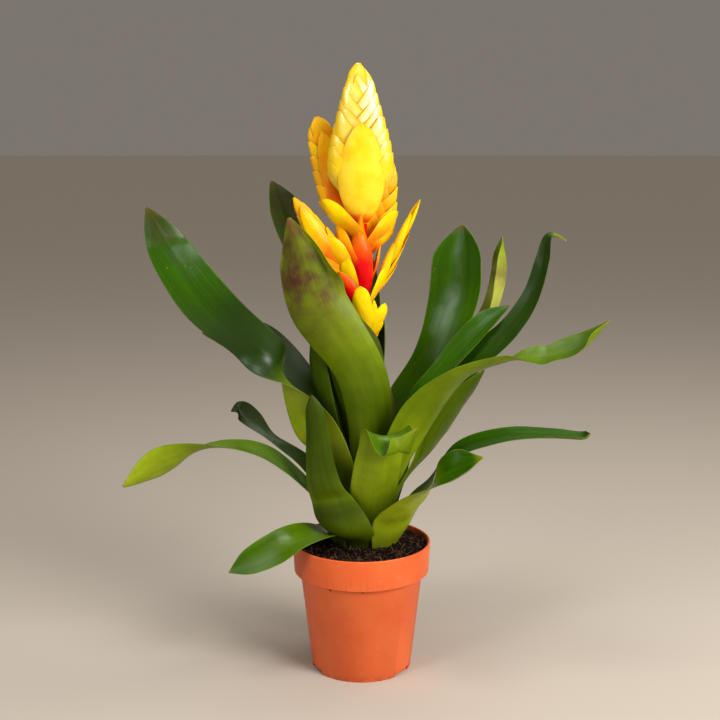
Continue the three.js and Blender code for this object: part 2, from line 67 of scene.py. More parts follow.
def roughen(point, scale, seed):
    return noise.noise(Vector((point[0] * scale, point[1] * scale, seed)))


# adds noises, each given by its height, scale and seed
def lumps(point, noises):
    return sum(height * roughen(point, scale, seed) for height, scale, seed in noises)


def newObject(name, data):
    made = bpy.data.objects.new(name, data)
    bpy.context.scene.collection.objects.link(made)
    return made


def makeObject(bm, name, smoothShading=True):
    mesh = bpy.data.meshes.new(name)
    for face in bm.faces:
        face.smooth = smoothShading
    bm.to_mesh(mesh)
    bm.free()
    return newObject(name, mesh)


def dress(piece, materials, replaced=()):
    for material in materials:
        piece.data.materials.append(material)
    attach(piece, "root")
    if replaced:
        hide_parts(*replaced)


def newMaterial(name, **sockets):
    material = bpy.data.materials.new(name)
    material.use_nodes = True
    shader = material.node_tree.nodes["Principled BSDF"]
    for key, value in sockets.items():
        shader.inputs[key.replace("_", " ")].default_value = value
    return material, shader


# an input is a socket, a number or a colour
def addNode(tree, kind, inputs=None, **settings):
    made = tree.nodes.new(kind)
    for key, value in settings.items():
        setattr(made, key, value)
    for key, value in (inputs or {}).items():
        if isinstance(value, bpy.types.NodeSocket):
            tree.links.new(value, made.inputs[key])
        else:
            made.inputs[key].default_value = (*value, 1) if isinstance(value, tuple) else value
    return made


# here and below a socket's id_data is the tree that it belongs to
def mathNode(operation, a, b=0.0):
    return addNode(a.id_data, "ShaderNodeMath", {0: a, 1: b}, operation=operation).outputs[0]


def times(a, b):
    return mathNode("MULTIPLY", a, b)


def plus(a, b):
    return mathNode("ADD", a, b)


def larger(a, b):
    return mathNode("MAXIMUM", a, b)


# turns low..high of a value into 0..1, or into outLow..outHigh
def stretch(value, low, high, outLow=0.0, outHigh=1.0):
    inputs = {"Value": value, "From Min": low, "From Max": high, "To Min": outLow,
              "To Max": outHigh}
    return addNode(value.id_data, "ShaderNodeMapRange", inputs).outputs[0]


def blendColour(factor, a, b):
    inputs = {0: factor, 6: a, 7: b}
    return addNode(factor.id_data, "ShaderNodeMix", inputs, data_type="RGBA").outputs[2]


# lays colours over a colour one after another, each by its own factor
def paint(colour, *layers):
    for factor, over in layers:
        colour = blendColour(factor, colour, over)
    return colour


def noiseNode(vector, scale, detail=3.0, rough=0.5):
    inputs = {"Vector": vector, "Scale": scale, "Detail": detail, "Roughness": rough}
    return addNode(vector.id_data, "ShaderNodeTexNoise", inputs).outputs["Fac"]


# noise drawn out along two coordinates, each with its own scale
def streakNoise(a, b, scales, detail=3.0, rough=0.5, start=0.0, scale=1.0):
    inputs = {0: times(a, scales[0]), 1: times(b, scales[1]), 2: start}
    place = addNode(a.id_data, "ShaderNodeCombineXYZ", inputs).outputs[0]
    return noiseNode(place, scale, detail, rough)


# small dots, kept only where a coarser noise is high
def rareDots(where, scale, sizes, coarser, rare):
    inputs = {"Vector": where, "Scale": scale}
    cells = addNode(where.id_data, "ShaderNodeTexVoronoi", inputs).outputs["Distance"]
    return times(stretch(cells, *sizes), stretch(noiseNode(where, coarser, 2.0), *rare))


def separated(vector):
    return addNode(vector.id_data, "ShaderNodeSeparateXYZ", {0: vector}).outputs


def attribute(shader, name):
    return addNode(shader.id_data, "ShaderNodeAttribute", attribute_name=name).outputs


def objectPlace(shader):
    return addNode(shader.id_data, "ShaderNodeTexCoord").outputs["Object"]


# a bump is height, strength and distance
def surface(shader, colour, rough, *bumps):
    below = {}
    for height, strength, distance in bumps:
        inputs = {"Height": height, "Strength": strength, "Distance": distance, **below}
        below = {"Normal": addNode(shader.id_data, "ShaderNodeBump", inputs).outputs[0]}
    for key, value in {"Base Color": colour, "Roughness": rough, **below}.items():
        shader.id_data.links.new(value, shader.inputs[key])


camera = {"place": (-0.00127, -1.006, 0.45), "pitch": -10, "lens": 60, "sensor": 36}
lightsAim = (0, 0, 0.28)
lights = {
    # place, size, watts, colour
    "key": ((1.05, -1.02, 1.0), 0.85, 31, (1.0, 0.97, 0.93)),
    "leftGloss": ((-0.95, -1.0, 0.87), 0.4, 5.5, (0.98, 0.99, 1.0)),
    "rightGloss": ((0.75, 0.2, 1.4), 0.5, 4, (1.0, 0.99, 0.97)),
    "overhead": ((-0.22, -0.45, 1.5), 0.5, 6, (1.0, 1.0, 0.98)),
}
# "back" lies behind the object and all round at the horizon, "front" behind the camera
room = {"back": (0.2, 0.18, 0.156), "front": (0.07, 0.065, 0.058), "above": (1.1, 1.05, 0.98),
        "floor": (0.5, 0.44, 0.375), "floorRadius": 80}


def aimedLight(name, place, size, watts, colour):
    lamp = bpy.data.lights.new(name, "AREA")
    lamp.shape = "DISK"
    lamp.size = size
    lamp.energy = watts
    lamp.color = colour
    made = newObject(name, lamp)
    made.location = place
    made.rotation_euler = (Vector(lightsAim) - Vector(place)).to_track_quat("-Z", "Y").to_euler()


def setStudio():
    bpy.context.scene.view_settings.view_transform = "Standard"  # keeps the yellow and green full
    lens = bpy.data.cameras.new("camera")
    lens.lens = camera["lens"]
    lens.sensor_width = camera["sensor"]
    view = newObject("camera", lens)
    view.location = camera["place"]
    view.rotation_euler = (math.radians(90 + camera["pitch"]), 0, 0)
    bpy.context.scene.camera = view
    for name, facts in lights.items():
        aimedLight(name, *facts)
    world = bpy.data.worlds.new("studio")
    world.use_nodes = True
    bpy.context.scene.world = world
    sky = world.node_tree
    _, away, up = separated(addNode(sky, "ShaderNodeTexCoord").outputs["Generated"])
    colour = blendColour(stretch(away, 0.2, 0.9), room["front"], room["back"])
    colour = blendColour(stretch(up, 0.04, 0.14), room["back"], colour)
    colour = blendColour(stretch(up, 0.75, 0.95), colour, room["above"])
    sky.links.new(colour, sky.nodes["Background"].inputs[0])
    bm = bmesh.new()
    bmesh.ops.create_circle(bm, cap_ends=True, segments=96, radius=room["floorRadius"])
    floor = makeObject(bm, "floor", False)
    material, _ = newMaterial("floorPaint", Base_Color=(*room["floor"], 1), Roughness=0.8,
                              Specular_IOR_Level=0.1)
    floor.data.materials.append(material)


setStudio()
print("studio set")


# Both sides read two attributes of the blade: "blade" is (side -1..1, place 0..1, metres along
# it), and "tint" is how maroon, how pale and how dry it is there, and in its alpha how much
# painted shade darkens and dulls its green. A paleness over 1 turns to cream.
leafFinish = {
    "upper": {"dark": (0.012, 0.052, 0.0), "light": (0.042, 0.14, 0.001),
              "pale": (0.2, 0.29, 0.004), "rough": 0.17, "shine": 0.3},
    "under": {"dark": (0.055, 0.1, 0.0), "light": (0.13, 0.21, 0.001),
              "pale": (0.36, 0.47, 0.01), "rough": 0.36, "shine": 0.12},
}
# "shade" is the dark green that the painted shade and the random darker patches mix towards
leafSpots = {"maroon": (0.1, 0.03, 0.02), "dry": (0.34, 0.15, 0.04), "cream": (0.55, 0.56, 0.1),
             "edge": (0.16, 0.27, 0.02), "shade": (0.008, 0.02, 0.0)}
leafGlow = {"Subsurface_Weight": 0.04, "Subsurface_Radius": (0.3, 0.8, 0.1),
            "Subsurface_Scale": 0.002}
# scales are those across and along the blade
leafGrain = {
    "fineVeins": {"scales": (38.0, 6.0), "detail": 2.0},
    "broadVeins": {"scales": (4.0, 9.0), "start": 3.0},
    "bands": {"scales": (1.6, 55.0), "rough": 0.55, "start": 7.0},
    "patches": {"scale": 38.0, "detail": 4.0, "rough": 0.6},
    "specks": {"scale": 210.0, "sizes": (0.22, 0.1), "coarser": 60.0, "rare": (0.58, 0.66)},
}


def leafMaterial(name, finish):
    material, shader = newMaterial(name, Specular_IOR_Level=finish["shine"], **leafGlow)
    side, _, along = separated(attribute(shader, "blade")["Vector"])
    tint = attribute(shader, "tint")
    maroon, pale, dry = separated(tint["Vector"])
    where = objectPlace(shader)
    fineVeins, broadVeins, bands = [streakNoise(side, along, **leafGrain[key])
                                    for key in ("fineVeins", "broadVeins", "bands")]
    patches = noiseNode(where, **leafGrain["patches"])
    specks = rareDots(where, **leafGrain["specks"])
    tone = plus(times(fineVeins, 0.45), times(broadVeins, 0.55))
    bands = plus(bands, times(mathNode("SUBTRACT", fineVeins, 0.5), 0.35))
    colour = paint(
        finish["dark"],
        (stretch(tone, 0.22, 0.74), finish["light"]),
        (times(pale, stretch(broadVeins, 0.2, 0.6, 0.75, 1.0)), finish["pale"]),
        (stretch(pale, 1.0, 2.0), leafSpots["cream"]),
        # cross bands and blotches
        (times(maroon, stretch(bands, 0.34, 0.66, 0.25, 1.0)), leafSpots["maroon"]),
        (stretch(mathNode("ABSOLUTE", side), 0.95, 1.0, 0.0, 0.5), leafSpots["edge"]),
        # small corky specks and the dry tip
        (larger(times(specks, 0.6), dry), leafSpots["dry"]),
        (stretch(patches, 0.35, 0.75, 0.0, 0.35), leafSpots["shade"]),
        # painted shade from the tint's alpha: darker green where the blade lies in shade between
        # leaves, in creases and low in the rosette
        (times(tint["Alpha"], 0.75), leafSpots["shade"]))
    rough = stretch(plus(fineVeins, patches), 0.6, 1.4, finish["rough"] - 0.05,
                    finish["rough"] + 0.1)
    dulled = plus(rough, times(tint["Alpha"], 0.14))
    surface(shader, colour, dulled, (fineVeins, 0.4, 0.0004), (broadVeins, 0.18, 0.001))
    return material


leafUpper = leafMaterial("leafUpper", leafFinish["upper"])
leafUnder = leafMaterial("leafUnder", leafFinish["under"])


rosette = {"axis": (3, 8), "reach": (26, 58), "foot": 107, "gutter": 36, "soft": 0.45,
           "point": 0.76, "thick": 0.9, "columns": 14, "rowLength": 4.5}

# A leaf has its foot [radius, azimuth, width] about the rosette's middle and a line of [x, y, z,
# width, roll], where a roll of 0 is left out. Then ripple in mm, fold at the midrib in degrees,
# the gutter's radius (below 0 it arches), the tip's curl and where it starts, and how pale,
# maroon and dry it is and how much painted shade darkens it at places along it. A flap is its
# side, where along it begins and is complete, its turn, where across it begins, how much wider
# that side is. A crease is where the tip shows its duller side, in painted shade: place, slant,
# maroon there, drop. A dent is place, length and depth.
plainLeaf = {"ripple": 0.8, "fold": 16, "gutter": 36, "curl": 16, "curlFrom": 0.86,
             "flap": None, "crease": None, "dents": (),
             "pale": ((0.1, 0.35), (0.22, 0.8), (0.38, 0)), "maroon": ((0, 0),),
             "paintedShade": ((0.05, 0.5), (0.2, 0), (1, 0.1)), "dry": ((0.955, 0), (1, 0.35))}
leaves = {
    "left_large": {"foot": [19.5, 225, 28], "point": 0.84, "line": [
        [-14.7, -9.7, 162, 38], [-37, -24, 211, 44, 24], [-64, -32, 257, 42, -24],
        [-86, -36, 291, 37, -126], [-126, -34, 327, 42, -122], [-153, -31, 363, 37, -112],
        [-174, -30, 403, 33, -128]],
        "fold": -4, "gutter": -160, "curl": 60, "crease": (0.898, 0.02, 0.5, 1.0),
        "pale": ((0.1, 0.5), (0.25, 1.15), (0.44, 0.8), (0.5, 0)),
        "paintedShade": ((0.4, 0), (0.5, 1.15), (0.66, 0.85), (0.76, 0.2))},
    "left_behind": {"foot": [16.8, 172, 24], "point": 0.84, "line": [
        [-17.8, 10.9, 165, 36], [-31, 10, 212, 38, -10], [-52, 13, 248, 38, -30],
        [-86, 20, 283, 38, -40], [-112, 22, 288, 36, -40], [-138, 22, 293, 26, -40]],
        "gutter": 60, "maroon": ((0.4, 0), (0.8, 0.4)), "paintedShade": ((0.3, 1.1), (1, 1))},
    "left_arching": {"foot": [22, 190, 28], "point": 0.84, "line": [
        [-28, 0, 134, 38], [-52, -14, 169, 31, -11], [-83, -32, 199, 31, -13],
        [-123, -46, 207, 30, 10], [-160, -55, 195, 36, 55], [-194, -64, 179, 26, 60]],
        "curl": 30, "gutter": 60, "paintedShade": ((0.2, 0.2), (0.6, 0)),
        "pale": ((0.15, 0.6), (0.4, 0.2), (0.7, 0.5), (0.9, 0.8))},
    "left_small": {"foot": [20, 143, 18], "line": [
        [-29, 19, 146, 30], [-51, 24, 177, 20], [-78, 24, 198, 8, -30], [-95, 22, 216, 17, -50],
        [-106, 20, 225, 18, -50], [-114, 18, 224, 12, -50]],
        "curl": 12, "paintedShade": ((0.1, 0.3), (0.5, 0.8), (0.7, 1.1)),
        "maroon": ((0.2, 0.6), (0.5, 0.2))},
    "left_over_rim": {"foot": [27.5, 208, 26], "line": [
        [-28, -12, 123, 34], [-52, -33, 126, 32, -20], [-75, -40, 116, 30, -40],
        [-95, -46, 107, 24, -40], [-111, -50, 101, 14, -40]],
        "pale": ((0.1, 0.5), (0.4, 0.3), (0.9, 0.1)), "gutter": 50},
    "front_upright": {"foot": [23.5, 250, 34], "point": 0.86, "line": [
        [-8, -19.5, 118, 44], [-19, -32, 136, 56], [-30, -38, 162, 37], [-35, -43, 190, 27],
        [-37, -46, 214, 22], [-39, -48, 236, 18], [-41, -47, 252, 14]],
        "curl": 7, "curlFrom": 0.9, "dents": ((0.4, 0.05, 7.5), (0.25, 0.09, -4.5)),
        "paintedShade": ((0.1, 0.8), (0.25, 0.5), (0.36, 1.1), (0.4, 0.15), (0.5, 0.35), (0.62, 0.6),
                 (0.8, 0.8)),
        "pale": ((0.1, 0.1), (0.35, 0.3), (0.5, 0))},
    "front_folded": {"foot": [21, 285, 22], "line": [
        [10, -25, 148, 42], [14, -42, 183, 44], [18, -46, 206, 42], [21, -60, 221, 42],
        [30, -71, 210, 37, 8], [45, -66, 229, 16, 30]],
        "pale": ((0.1, 0.4), (0.3, 0.8), (0.55, 0.5), (0.7, 0.2)),
        "paintedShade": ((0.05, 0.6), (0.25, 0.25), (0.4, 0), (1, 0))},
    # this sheath's pale base is partly its own colour and partly painted light, standing in for
    # light bounced up onto it from below
    "right_front_short": {"foot": [26.2, 318, 32], "facing": 308, "line": [
        [33, -27, 136, 50], [48, -50, 165, 46, 10], [64, -63, 184, 44, 35], [82, -69, 195, 42, 45],
        [98, -73, 206, 26, 45]],
        "pale": ((0.1, 0.9), (0.45, 1), (0.65, 0), (0.9, 0), (0.97, 0.9)), "ripple": 1.8,
        "dents": ((0.2, 0.04, 1.8), (0.34, 0.03, -1.0))},
    "right_low": {"foot": [24.3, 352, 26], "point": 0.84, "line": [
        [41, 0, 140, 46], [60, -8, 163, 38], [82, -24, 197, 34, 10], [118, -38, 213, 32, 10],
        [154, -47, 217, 26, 5], [180, -54, 217, 22], [186, -57, 222, 14]]},
    "right_long": {"foot": [18.8, 320, 26], "facing": 295, "point": 0.88, "line": [
        [21, -10, 150, 35], [29, -28, 190, 34], [52, -38, 235, 40], [82, -49, 267, 36, 10],
        [118, -54, 281, 26], [152, -53, 283, 32, 35], [180, -51, 292, 38, 60],
        [200, -50, 314, 26, 50]],
        "gutter": 45, "curl": 20,
        "pale": ((0.1, 0.35), (0.22, 0.8), (0.4, 0.25), (0.62, 0.5), (0.85, 0.3))},
    "right_under": {"foot": [20.7, 350, 22], "facing": 345, "line": [
        [33, 4, 156, 30], [54.5, 1.5, 188, 30, -20], [68, -6, 214, 32, -35],
        [86, -12, 242, 28, -35], [103, -20, 268, 18, -35]]},
    "right_upright": {"foot": [17, 7, 22], "point": 0.9, "line": [
        [26.4, 9, 165, 25], [61, 4, 231, 32, 10], [98, 5, 270, 34, 25], [126, 9, 296, 26, 30],
        [145, 13, 324, 20, 35], [155, 13, 356, 16, 30], [160, 12, 376, 15, 10],
        [173, 10, 373, 10]],
        "curl": 8, "curlFrom": 0.9, "paintedShade": ((0.3, 0.5), (0.5, 0.85), (0.87, 0.85), (0.92, 0)),
        "pale": ((0.15, 0.5), (0.3, 0), (0.88, 0), (0.94, 1.4))},
    "right_narrow": {"foot": [15.5, 52, 18], "point": 0.88, "line": [
        [14.4, 25.4, 165, 21], [45, 50, 225, 27], [88, 56, 268, 34, -10], [115, 61, 300, 38, -40],
        [126, 61, 338, 40, -50], [125, 62, 373, 26, -45]],
        "maroon": ((0.76, 0), (0.84, 0.6), (0.94, 0)), "gutter": 20,
        "pale": ((0.2, 1.2), (0.6, 1.6), (0.85, 1.9), (0.97, 0.7))},
    "right_inner": {"foot": [12.9, 26, 18], "facing": 45, "point": 0.84, "line": [
        [19.4, 13, 165, 24], [42, 5, 224, 28], [71, 11, 262, 26], [102, 20, 296, 26, 10],
        [128, 26, 316, 18, 10]]},
    "right_broad": {"foot": [11.5, 62, 16], "point": 0.84, "line": [
        [9.1, 20.6, 165, 20], [27, 35, 222, 24], [62, 40, 266, 36], [83, 49, 313, 48],
        [88, 54, 350, 50], [89, 57, 384, 40]],
        "gutter": 120, "curl": 60, "paintedShade": ((0.1, 0.6), (0.3, 0.15), (1, 0)),
        "pale": ((0.2, 0.3), (0.5, 0.05), (1, 0))},
    "centre_front": {"foot": [14, 272, 22], "point": 0.84, "line": [
        [5.4, -8.8, 160, 32], [8, -20, 217, 40], [0, -29, 262, 46], [-23, -35, 301, 52],
        [-44, -40, 340, 54], [-58, -48, 396, 40]],
        "gutter": 60, "curl": 12, "curlFrom": 0.88, "flap": (1, 0.74, 0.88, -125, 0.6, 0.2),
        "maroon": ((0.58, 0), (0.7, 0.4), (0.82, 1.0)),
        "pale": ((0.1, 0.3), (0.4, 0.1), (0.6, 0.35)),
        "paintedShade": ((0.05, 0.7), (0.45, 0.4), (0.6, 0.05), (1, 0.1))},
    "centre_inner": {"foot": [9.8, 294, 11], "line": [
        [6.9, -2.8, 165, 15], [14, -12, 240, 18], [9, -18, 284, 19], [-2, -21, 313, 14]],
        "maroon": ((0.5, 0), (0.9, 0.6)), "paintedShade": ((0, 0.4),)},
    "back_left": {"foot": [14.6, 130, 18], "point": 0.84, "line": [
        [-9.7, 22.1, 165, 24], [-18, 31, 240, 32, -10], [-36, 44, 323, 36, -20],
        [-60, 57, 380, 36, -30], [-80, 66, 422, 26, -30]],
        "maroon": ((0.4, 0.2), (0.8, 0.7)), "paintedShade": ((0, 0.5),)},
    "back_centre": {"foot": [9.3, 101, 15], "line": [
        [1.4, 19.6, 165, 22], [2, 27, 259, 34], [-2, 36, 341, 34], [-14, 42, 392, 20]],
        "maroon": ((0.5, 0), (0.9, 0.7)), "paintedShade": ((0, 0.5),)},
    "back_dark": {"foot": [7.6, 36, 10], "line": [
        [10.1, 13.6, 165, 14], [15, 13, 235, 20], [19, 15, 280, 18], [19, 16, 307, 12]],
        "paintedShade": ((0, 0.7),)},
    "small_brown": {"foot": [11.5, 322, 12], "facing": 288, "line": [
        [14, 1, 165, 14], [22, -2, 200, 18], [27, -3, 226, 16], [25, -4, 249, 10]],
        "maroon": ((0.4, 0), (0.8, 0.9)), "paintedShade": ((0, 0.4),)},
    "left_inner": {"foot": [12.2, 190, 16], "facing": 235, "line": [
        [-10.8, 5.4, 165, 18], [-25, -5, 214, 24], [-37, -10, 256, 26], [-42, -12, 299, 18]],
        "paintedShade": ((0, 0.5), (1, 0.6))},
    "left_core": {"foot": [8.2, 208, 10], "facing": 240, "line": [
        [-5.2, 2.8, 165, 12], [-12, -8, 220, 20], [-24, -14, 260, 20], [-31, -15, 290, 14]],
        "paintedShade": ((0, 0.5), (1, 0.6))},
    "back_low_right": {"foot": [22.5, 55, 24], "line": [
        [24, 35, 150, 38], [36, 62, 187, 36], [46, 100, 210, 32], [50, 145, 214, 18]]},
    "back_low_centre": {"foot": [25, 100, 28], "line": [
        [-3, 42, 140, 40], [-14, 76, 184, 38], [-27, 122, 216, 34], [-43, 160, 220, 18]]},
    "back_low_left": {"foot": [18.4, 137, 24], "line": [
        [-16, 29, 154, 36], [-28, 52, 199, 34], [-44, 90, 230, 30], [-58, 120, 240, 16]]},
}

# how finely a blade is measured, and how its end narrows
bladeShape = {"stride": 0.004, "steps": 12, "leastReach": 4, "tipLoss": 0.94, "tipCurve": 2.2,
              "levelled": 0.3, "foldFrom": 0.45, "flapRound": 0.25}
# the margins' ripples: lengths in mm and heights
waves = {"long": 34, "short": 12, "longHigh": 1.6, "shortHigh": 0.35, "dentFade": 0.6}
margins = {"from": 0.5, "thinner": 0.9, "least": 0.35}
flapTint = {"turnedPale": 0.7, "pale": 1.5, "across": (0.78, 0.95), "along": (0.78, 0.9)}
# past a crease the tip takes this paleness and this much painted shade; sharp is how crisp the
# line is, fade how its maroon thins towards the margins
creaseTint = {"sharp": 0.006, "pale": 0.1, "paintedShade": 0.6, "fade": 0.5}


def ramp(points, place):
    if place <= points[0][0]:
        return points[0][1]
    for (low, a), (high, b) in zip(points, points[1:]):
        if place <= high:
            return mix(a, b, (place - low) / (high - low))
    return points[-1][1]


# the blade's state at one place along it, in millimetres
def bladeRow(blade, place):
    line, stride = blade["line"], bladeShape["stride"]
    x, y, z, width, roll = between(line, place)
    ahead = Vector(between(line, min(place + stride, 1))[:3])
    behind = Vector(between(line, max(place - stride, 0))[:3])
    along = (ahead - behind).normalized()
    outward = Vector((x - blade["axis"][0], y - blade["axis"][1], 0))
    reach = max(outward.length, bladeShape["leastReach"])
    outward.normalize()
    sheath = 1 - smooth(*blade["reach"], reach)
    turn = math.radians(blade["facing"])
    across = Vector((-math.sin(turn), math.cos(turn), 0))
    across = (across - along * across.dot(along)).normalized()
    across.rotate(Matrix.Rotation(math.radians(roll), 3, along))
    upper = along.cross(across)
    across = across.lerp(Vector((-outward.y, outward.x, 0)), sheath).normalized()
    upper = upper.lerp(-outward, sheath).normalized()
    tip = max((place - blade["point"]) / (1 - blade["point"]), 0)
    narrowing = 1 - bladeShape["tipLoss"] * tip ** bladeShape["tipCurve"]
    if blade.get("blunt"):
        narrowing = math.sqrt(1.002 - tip ** 3)
    bend = sheath / reach + (1 - sheath) / blade["gutter"]
    if "curl" in blade:
        bend = mix(bend, 1 / blade["curl"], smooth(blade["curlFrom"], 1, place))
    half = width * narrowing / 2
    flatter = 1 / rosette["gutter"] - 1 / blade["gutter"]
    level = bladeShape["levelled"] * half * half * flatter * (1 - sheath)
    row = {"middle": Vector((x, y, z)) + upper * level, "across": across, "upper": upper,
           "bend": bend, "half": half, "soft": blade["soft"], "free": 1 - sheath,
           "flap": 0, "flapSide": 0, "lean": 0,
           "fold": math.radians(blade["fold"]) * smooth(bladeShape["foldFrom"], 1, place)}
    if blade.get("flap"):
        row["flapSide"], low, high, turned, row["flapStart"], wider = blade["flap"]
        row["flap"] = math.radians(turned) * smooth(low, high, place)
        row["lean"] = wider * smooth(low, high, place)
    return row


# walks from the blade's middle towards a margin, turning as the blade does
def bladePoint(row, side):
    out = rise = 0
    steps = bladeShape["steps"]
    onFlap = side * row["flapSide"] > 0
    half = row["half"] * (1 + row["lean"] if onFlap else 1 - row["lean"])
    step = abs(side) * half / steps
    for n in range(steps):
        place = (n + 0.5) * abs(side) / steps
        turned = row["fold"] * smooth(-0.01, row["soft"], place) + row["bend"] * place * half
        if onFlap:
            start = row["flapStart"]
            turned += row["flap"] * smooth(start, start + bladeShape["flapRound"], place)
        out += math.cos(turned) * step
        rise += math.sin(turned) * step
    return row["middle"] + row["across"] * math.copysign(out, side) + row["upper"] * rise


def pastCrease(crease, place, side):
    sharp = creaseTint["sharp"]
    return smooth(-sharp, sharp, place - crease[0] - crease[1] * side)


def startBladeMesh():
    bm = bmesh.new()
    bm.verts.layers.float_vector.new("blade")
    bm.verts.layers.float_color.new("tint")
    return bm


# a new flat grid's vertices, and the layers that hold "blade" and "tint"
def bladeGrid(bm, columns, rows):
    made = bmesh.ops.create_grid(bm, x_segments=columns, y_segments=rows, size=1)
    layers = bm.verts.layers
    return made["verts"], layers.float_vector["blade"], layers.float_color["tint"]


# lays a grid onto the blade; its upper side is the grid's face side
def layBlade(bm, blade, tintAt, seed):
    blade = {**blade, "line": [[*row, 0][:5] for row in blade["line"]]}
    ends = [Vector(row[:3]) for row in blade["line"]]
    length = sum((b - a).length for a, b in zip(ends, ends[1:]))
    rows = max(round(length / blade["rowLength"]), 6)
    verts, bladeLayer, tintLayer = bladeGrid(bm, blade["columns"], rows)
    states = {}
    for vert in verts:
        side, place = -vert.co.x, (vert.co.y + 1) / 2
        key = round(place * rows)
        if key not in states:
            states[key] = bladeRow(blade, place)
        row = states[key]
        point = bladePoint(row, side)
        wave = noise.noise(Vector((place * length / waves["long"], side * 0.8, seed)))
        fine = noise.noise(Vector((place * length / waves["short"], side * 2.0, seed + 9)))
        high = abs(side) ** 2 * wave * waves["longHigh"] + waves["shortHigh"] * fine
        lift = blade["ripple"] * row["free"] * high
        for middle, wide, depth in blade.get("dents", ()):
            fading = 1 - waves["dentFade"] * side * side
            lift += depth * math.exp(-((place - middle) / wide) ** 2) * fading
        if blade.get("crease"):
            lift -= blade["crease"][3] * pastCrease(blade["crease"], place, side)
        vert[bladeLayer] = (side, place, place * length * mm)
        vert[tintLayer] = tintAt(place, side)
        vert.co = (point + row["upper"] * lift) * mm


# gives the blades their thickness, with thin margins, and rounds them off
def thicken(piece, thickness, backMaterial=0):
    group = piece.vertex_groups.new(name="thick")
    for vert, value in zip(piece.data.vertices, piece.data.attributes["blade"].data):
        thin = margins["thinner"] * smooth(margins["from"], 1, abs(value.vector[0]))
        group.add([vert.index], 1 - thin, "REPLACE")
    solidify = piece.modifiers.new("Thickness", "SOLIDIFY")
    solidify.thickness = thickness * mm
    solidify.offset = 0
    solidify.material_offset = backMaterial
    solidify.material_offset_rim = backMaterial
    solidify.vertex_group = "thick"
    solidify.thickness_vertex_group = margins["least"]
    subdivision = piece.modifiers.new("Smooth", "SUBSURF")
    subdivision.levels = 1
    subdivision.render_levels = 1


def leafTint(leaf):
    def tintAt(place, side):
        maroon, pale, dry, paintedShade = [ramp(leaf[key], place)
                                   for key in ("maroon", "pale", "dry", "paintedShade")]
        if leaf["flap"]:
            flapSide, low, high, _, start, _ = leaf["flap"]
            if side * flapSide > start:
                turned = smooth(low, high, place)
                maroon, pale = maroon * (1 - turned), mix(pale, flapTint["turnedPale"], turned)
            else:
                pale += (flapTint["pale"] * smooth(*flapTint["across"], abs(side))
                         * smooth(*flapTint["along"], place))
        if leaf["crease"]:
            past = pastCrease(leaf["crease"], place, side)
            red = leaf["crease"][2] * (1 - creaseTint["fade"] * abs(side))
            maroon = mix(maroon, red, past)
            # past the crease the tip takes the crease's maroon and paleness, and painted shade
            pale, paintedShade = mix(pale, creaseTint["pale"], past), mix(paintedShade, creaseTint["paintedShade"], past)
        return maroon, pale, dry, paintedShade
    return tintAt


def makeLeaf(name, entry, seed):
    radius, azimuth, width = entry["foot"]
    turn = math.radians(azimuth)
    foot = [rosette["axis"][0] + radius * math.cos(turn),
            rosette["axis"][1] + radius * math.sin(turn), rosette["foot"], width]
    blade = {**rosette, **plainLeaf, "facing": azimuth, **entry,
             "line": [foot, *entry["line"]]}
    bm = startBladeMesh()
    layBlade(bm, blade, leafTint(blade), seed)
    piece = makeObject(bm, "blade_" + name)
    thicken(piece, rosette["thick"], 1)
    dress(piece, [leafUpper, leafUnder], ["leaf_" + name])


for number, (name, entry) in enumerate(leaves.items()):
    makeLeaf(name, entry, number * 3.7)
print("leaves made")


# "pale" is the cream of a painted highlight on the lit scales
flowerColours = {"yellow": (0.97, 0.65, 0.0), "shade": (0.9, 0.46, 0.0),
                 "orange": (0.92, 0.16, 0.0), "red": (0.76, 0.0, 0.002),
                 "brown": (0.24, 0.1, 0.008), "pale": (1.0, 0.97, 0.6)}
flowerGlow = {"Subsurface_Weight": 0.08, "Subsurface_Radius": (1.0, 0.5, 0.05),
              "Subsurface_Scale": 0.003, "Coat_Roughness": 0.2}
flowerGrain = {
    "streaks": {"scales": (14.0, 30.0)},
    "patches": {"scale": 70.0, "detail": 4.0, "rough": 0.6},
    "dots": {"scale": 260.0, "sizes": (0.22, 0.08), "coarser": 90.0, "rare": (0.6, 0.7)},
}


# "tint" is how red, how orange, how brown and how pale the bract is there, the paleness being a
# painted highlight
def flowerMaterial(name, coat, shine):
    material, shader = newMaterial(name, Coat_Weight=coat, Specular_IOR_Level=shine,
                                   **flowerGlow)
    side, _, along = separated(attribute(shader, "blade")["Vector"])
    fromKeel = mathNode("ABSOLUTE", side)
    tint = attribute(shader, "tint")
    red, orange, brown = separated(tint["Vector"])
    where = objectPlace(shader)
    streaks = streakNoise(side, along, **flowerGrain["streaks"])
    patches = noiseNode(where, **flowerGrain["patches"])
    dots = rareDots(where, **flowerGrain["dots"])
    wavy = stretch(plus(streaks, patches), 0.7, 1.3, -0.14, 0.14)
    outsideHighlight = stretch(tint["Alpha"], 0.0, 0.3, 1.0, 0.2)
    edge = times(stretch(fromKeel, 0.88, 1.0, 0.0, 0.4), outsideHighlight)
    margin = times(stretch(fromKeel, 0.9, 1.0, 0.0, 0.5), stretch(streaks, 0.42, 0.6))
    colour = paint(
        flowerColours["yellow"],
        (stretch(patches, 0.4, 0.8, 0.0, 0.7), flowerColours["shade"]),
        # painted highlight: cream where the tint's alpha says the scales catch the light
        (times(tint["Alpha"], stretch(patches, 0.35, 0.6, 1.0, 0.3)), flowerColours["pale"]),
        (larger(edge, stretch(plus(orange, wavy), 0.15, 0.95)), flowerColours["orange"]),
        (stretch(plus(red, wavy), 0.15, 0.9), flowerColours["red"]),
        (larger(times(dots, 0.7), larger(brown, margin)), flowerColours["brown"]))
    surface(shader, colour, stretch(streaks, 0.3, 0.7, 0.26, 0.4),
            (streaks, 0.3, 0.0004), (patches, 0.2 + 0.3 * coat, 0.0012))
    return material


bractYellow = flowerMaterial("bractYellow", 0.0, 0.16)
glossyYellow = flowerMaterial("glossyYellow", 1.0, 0.35)

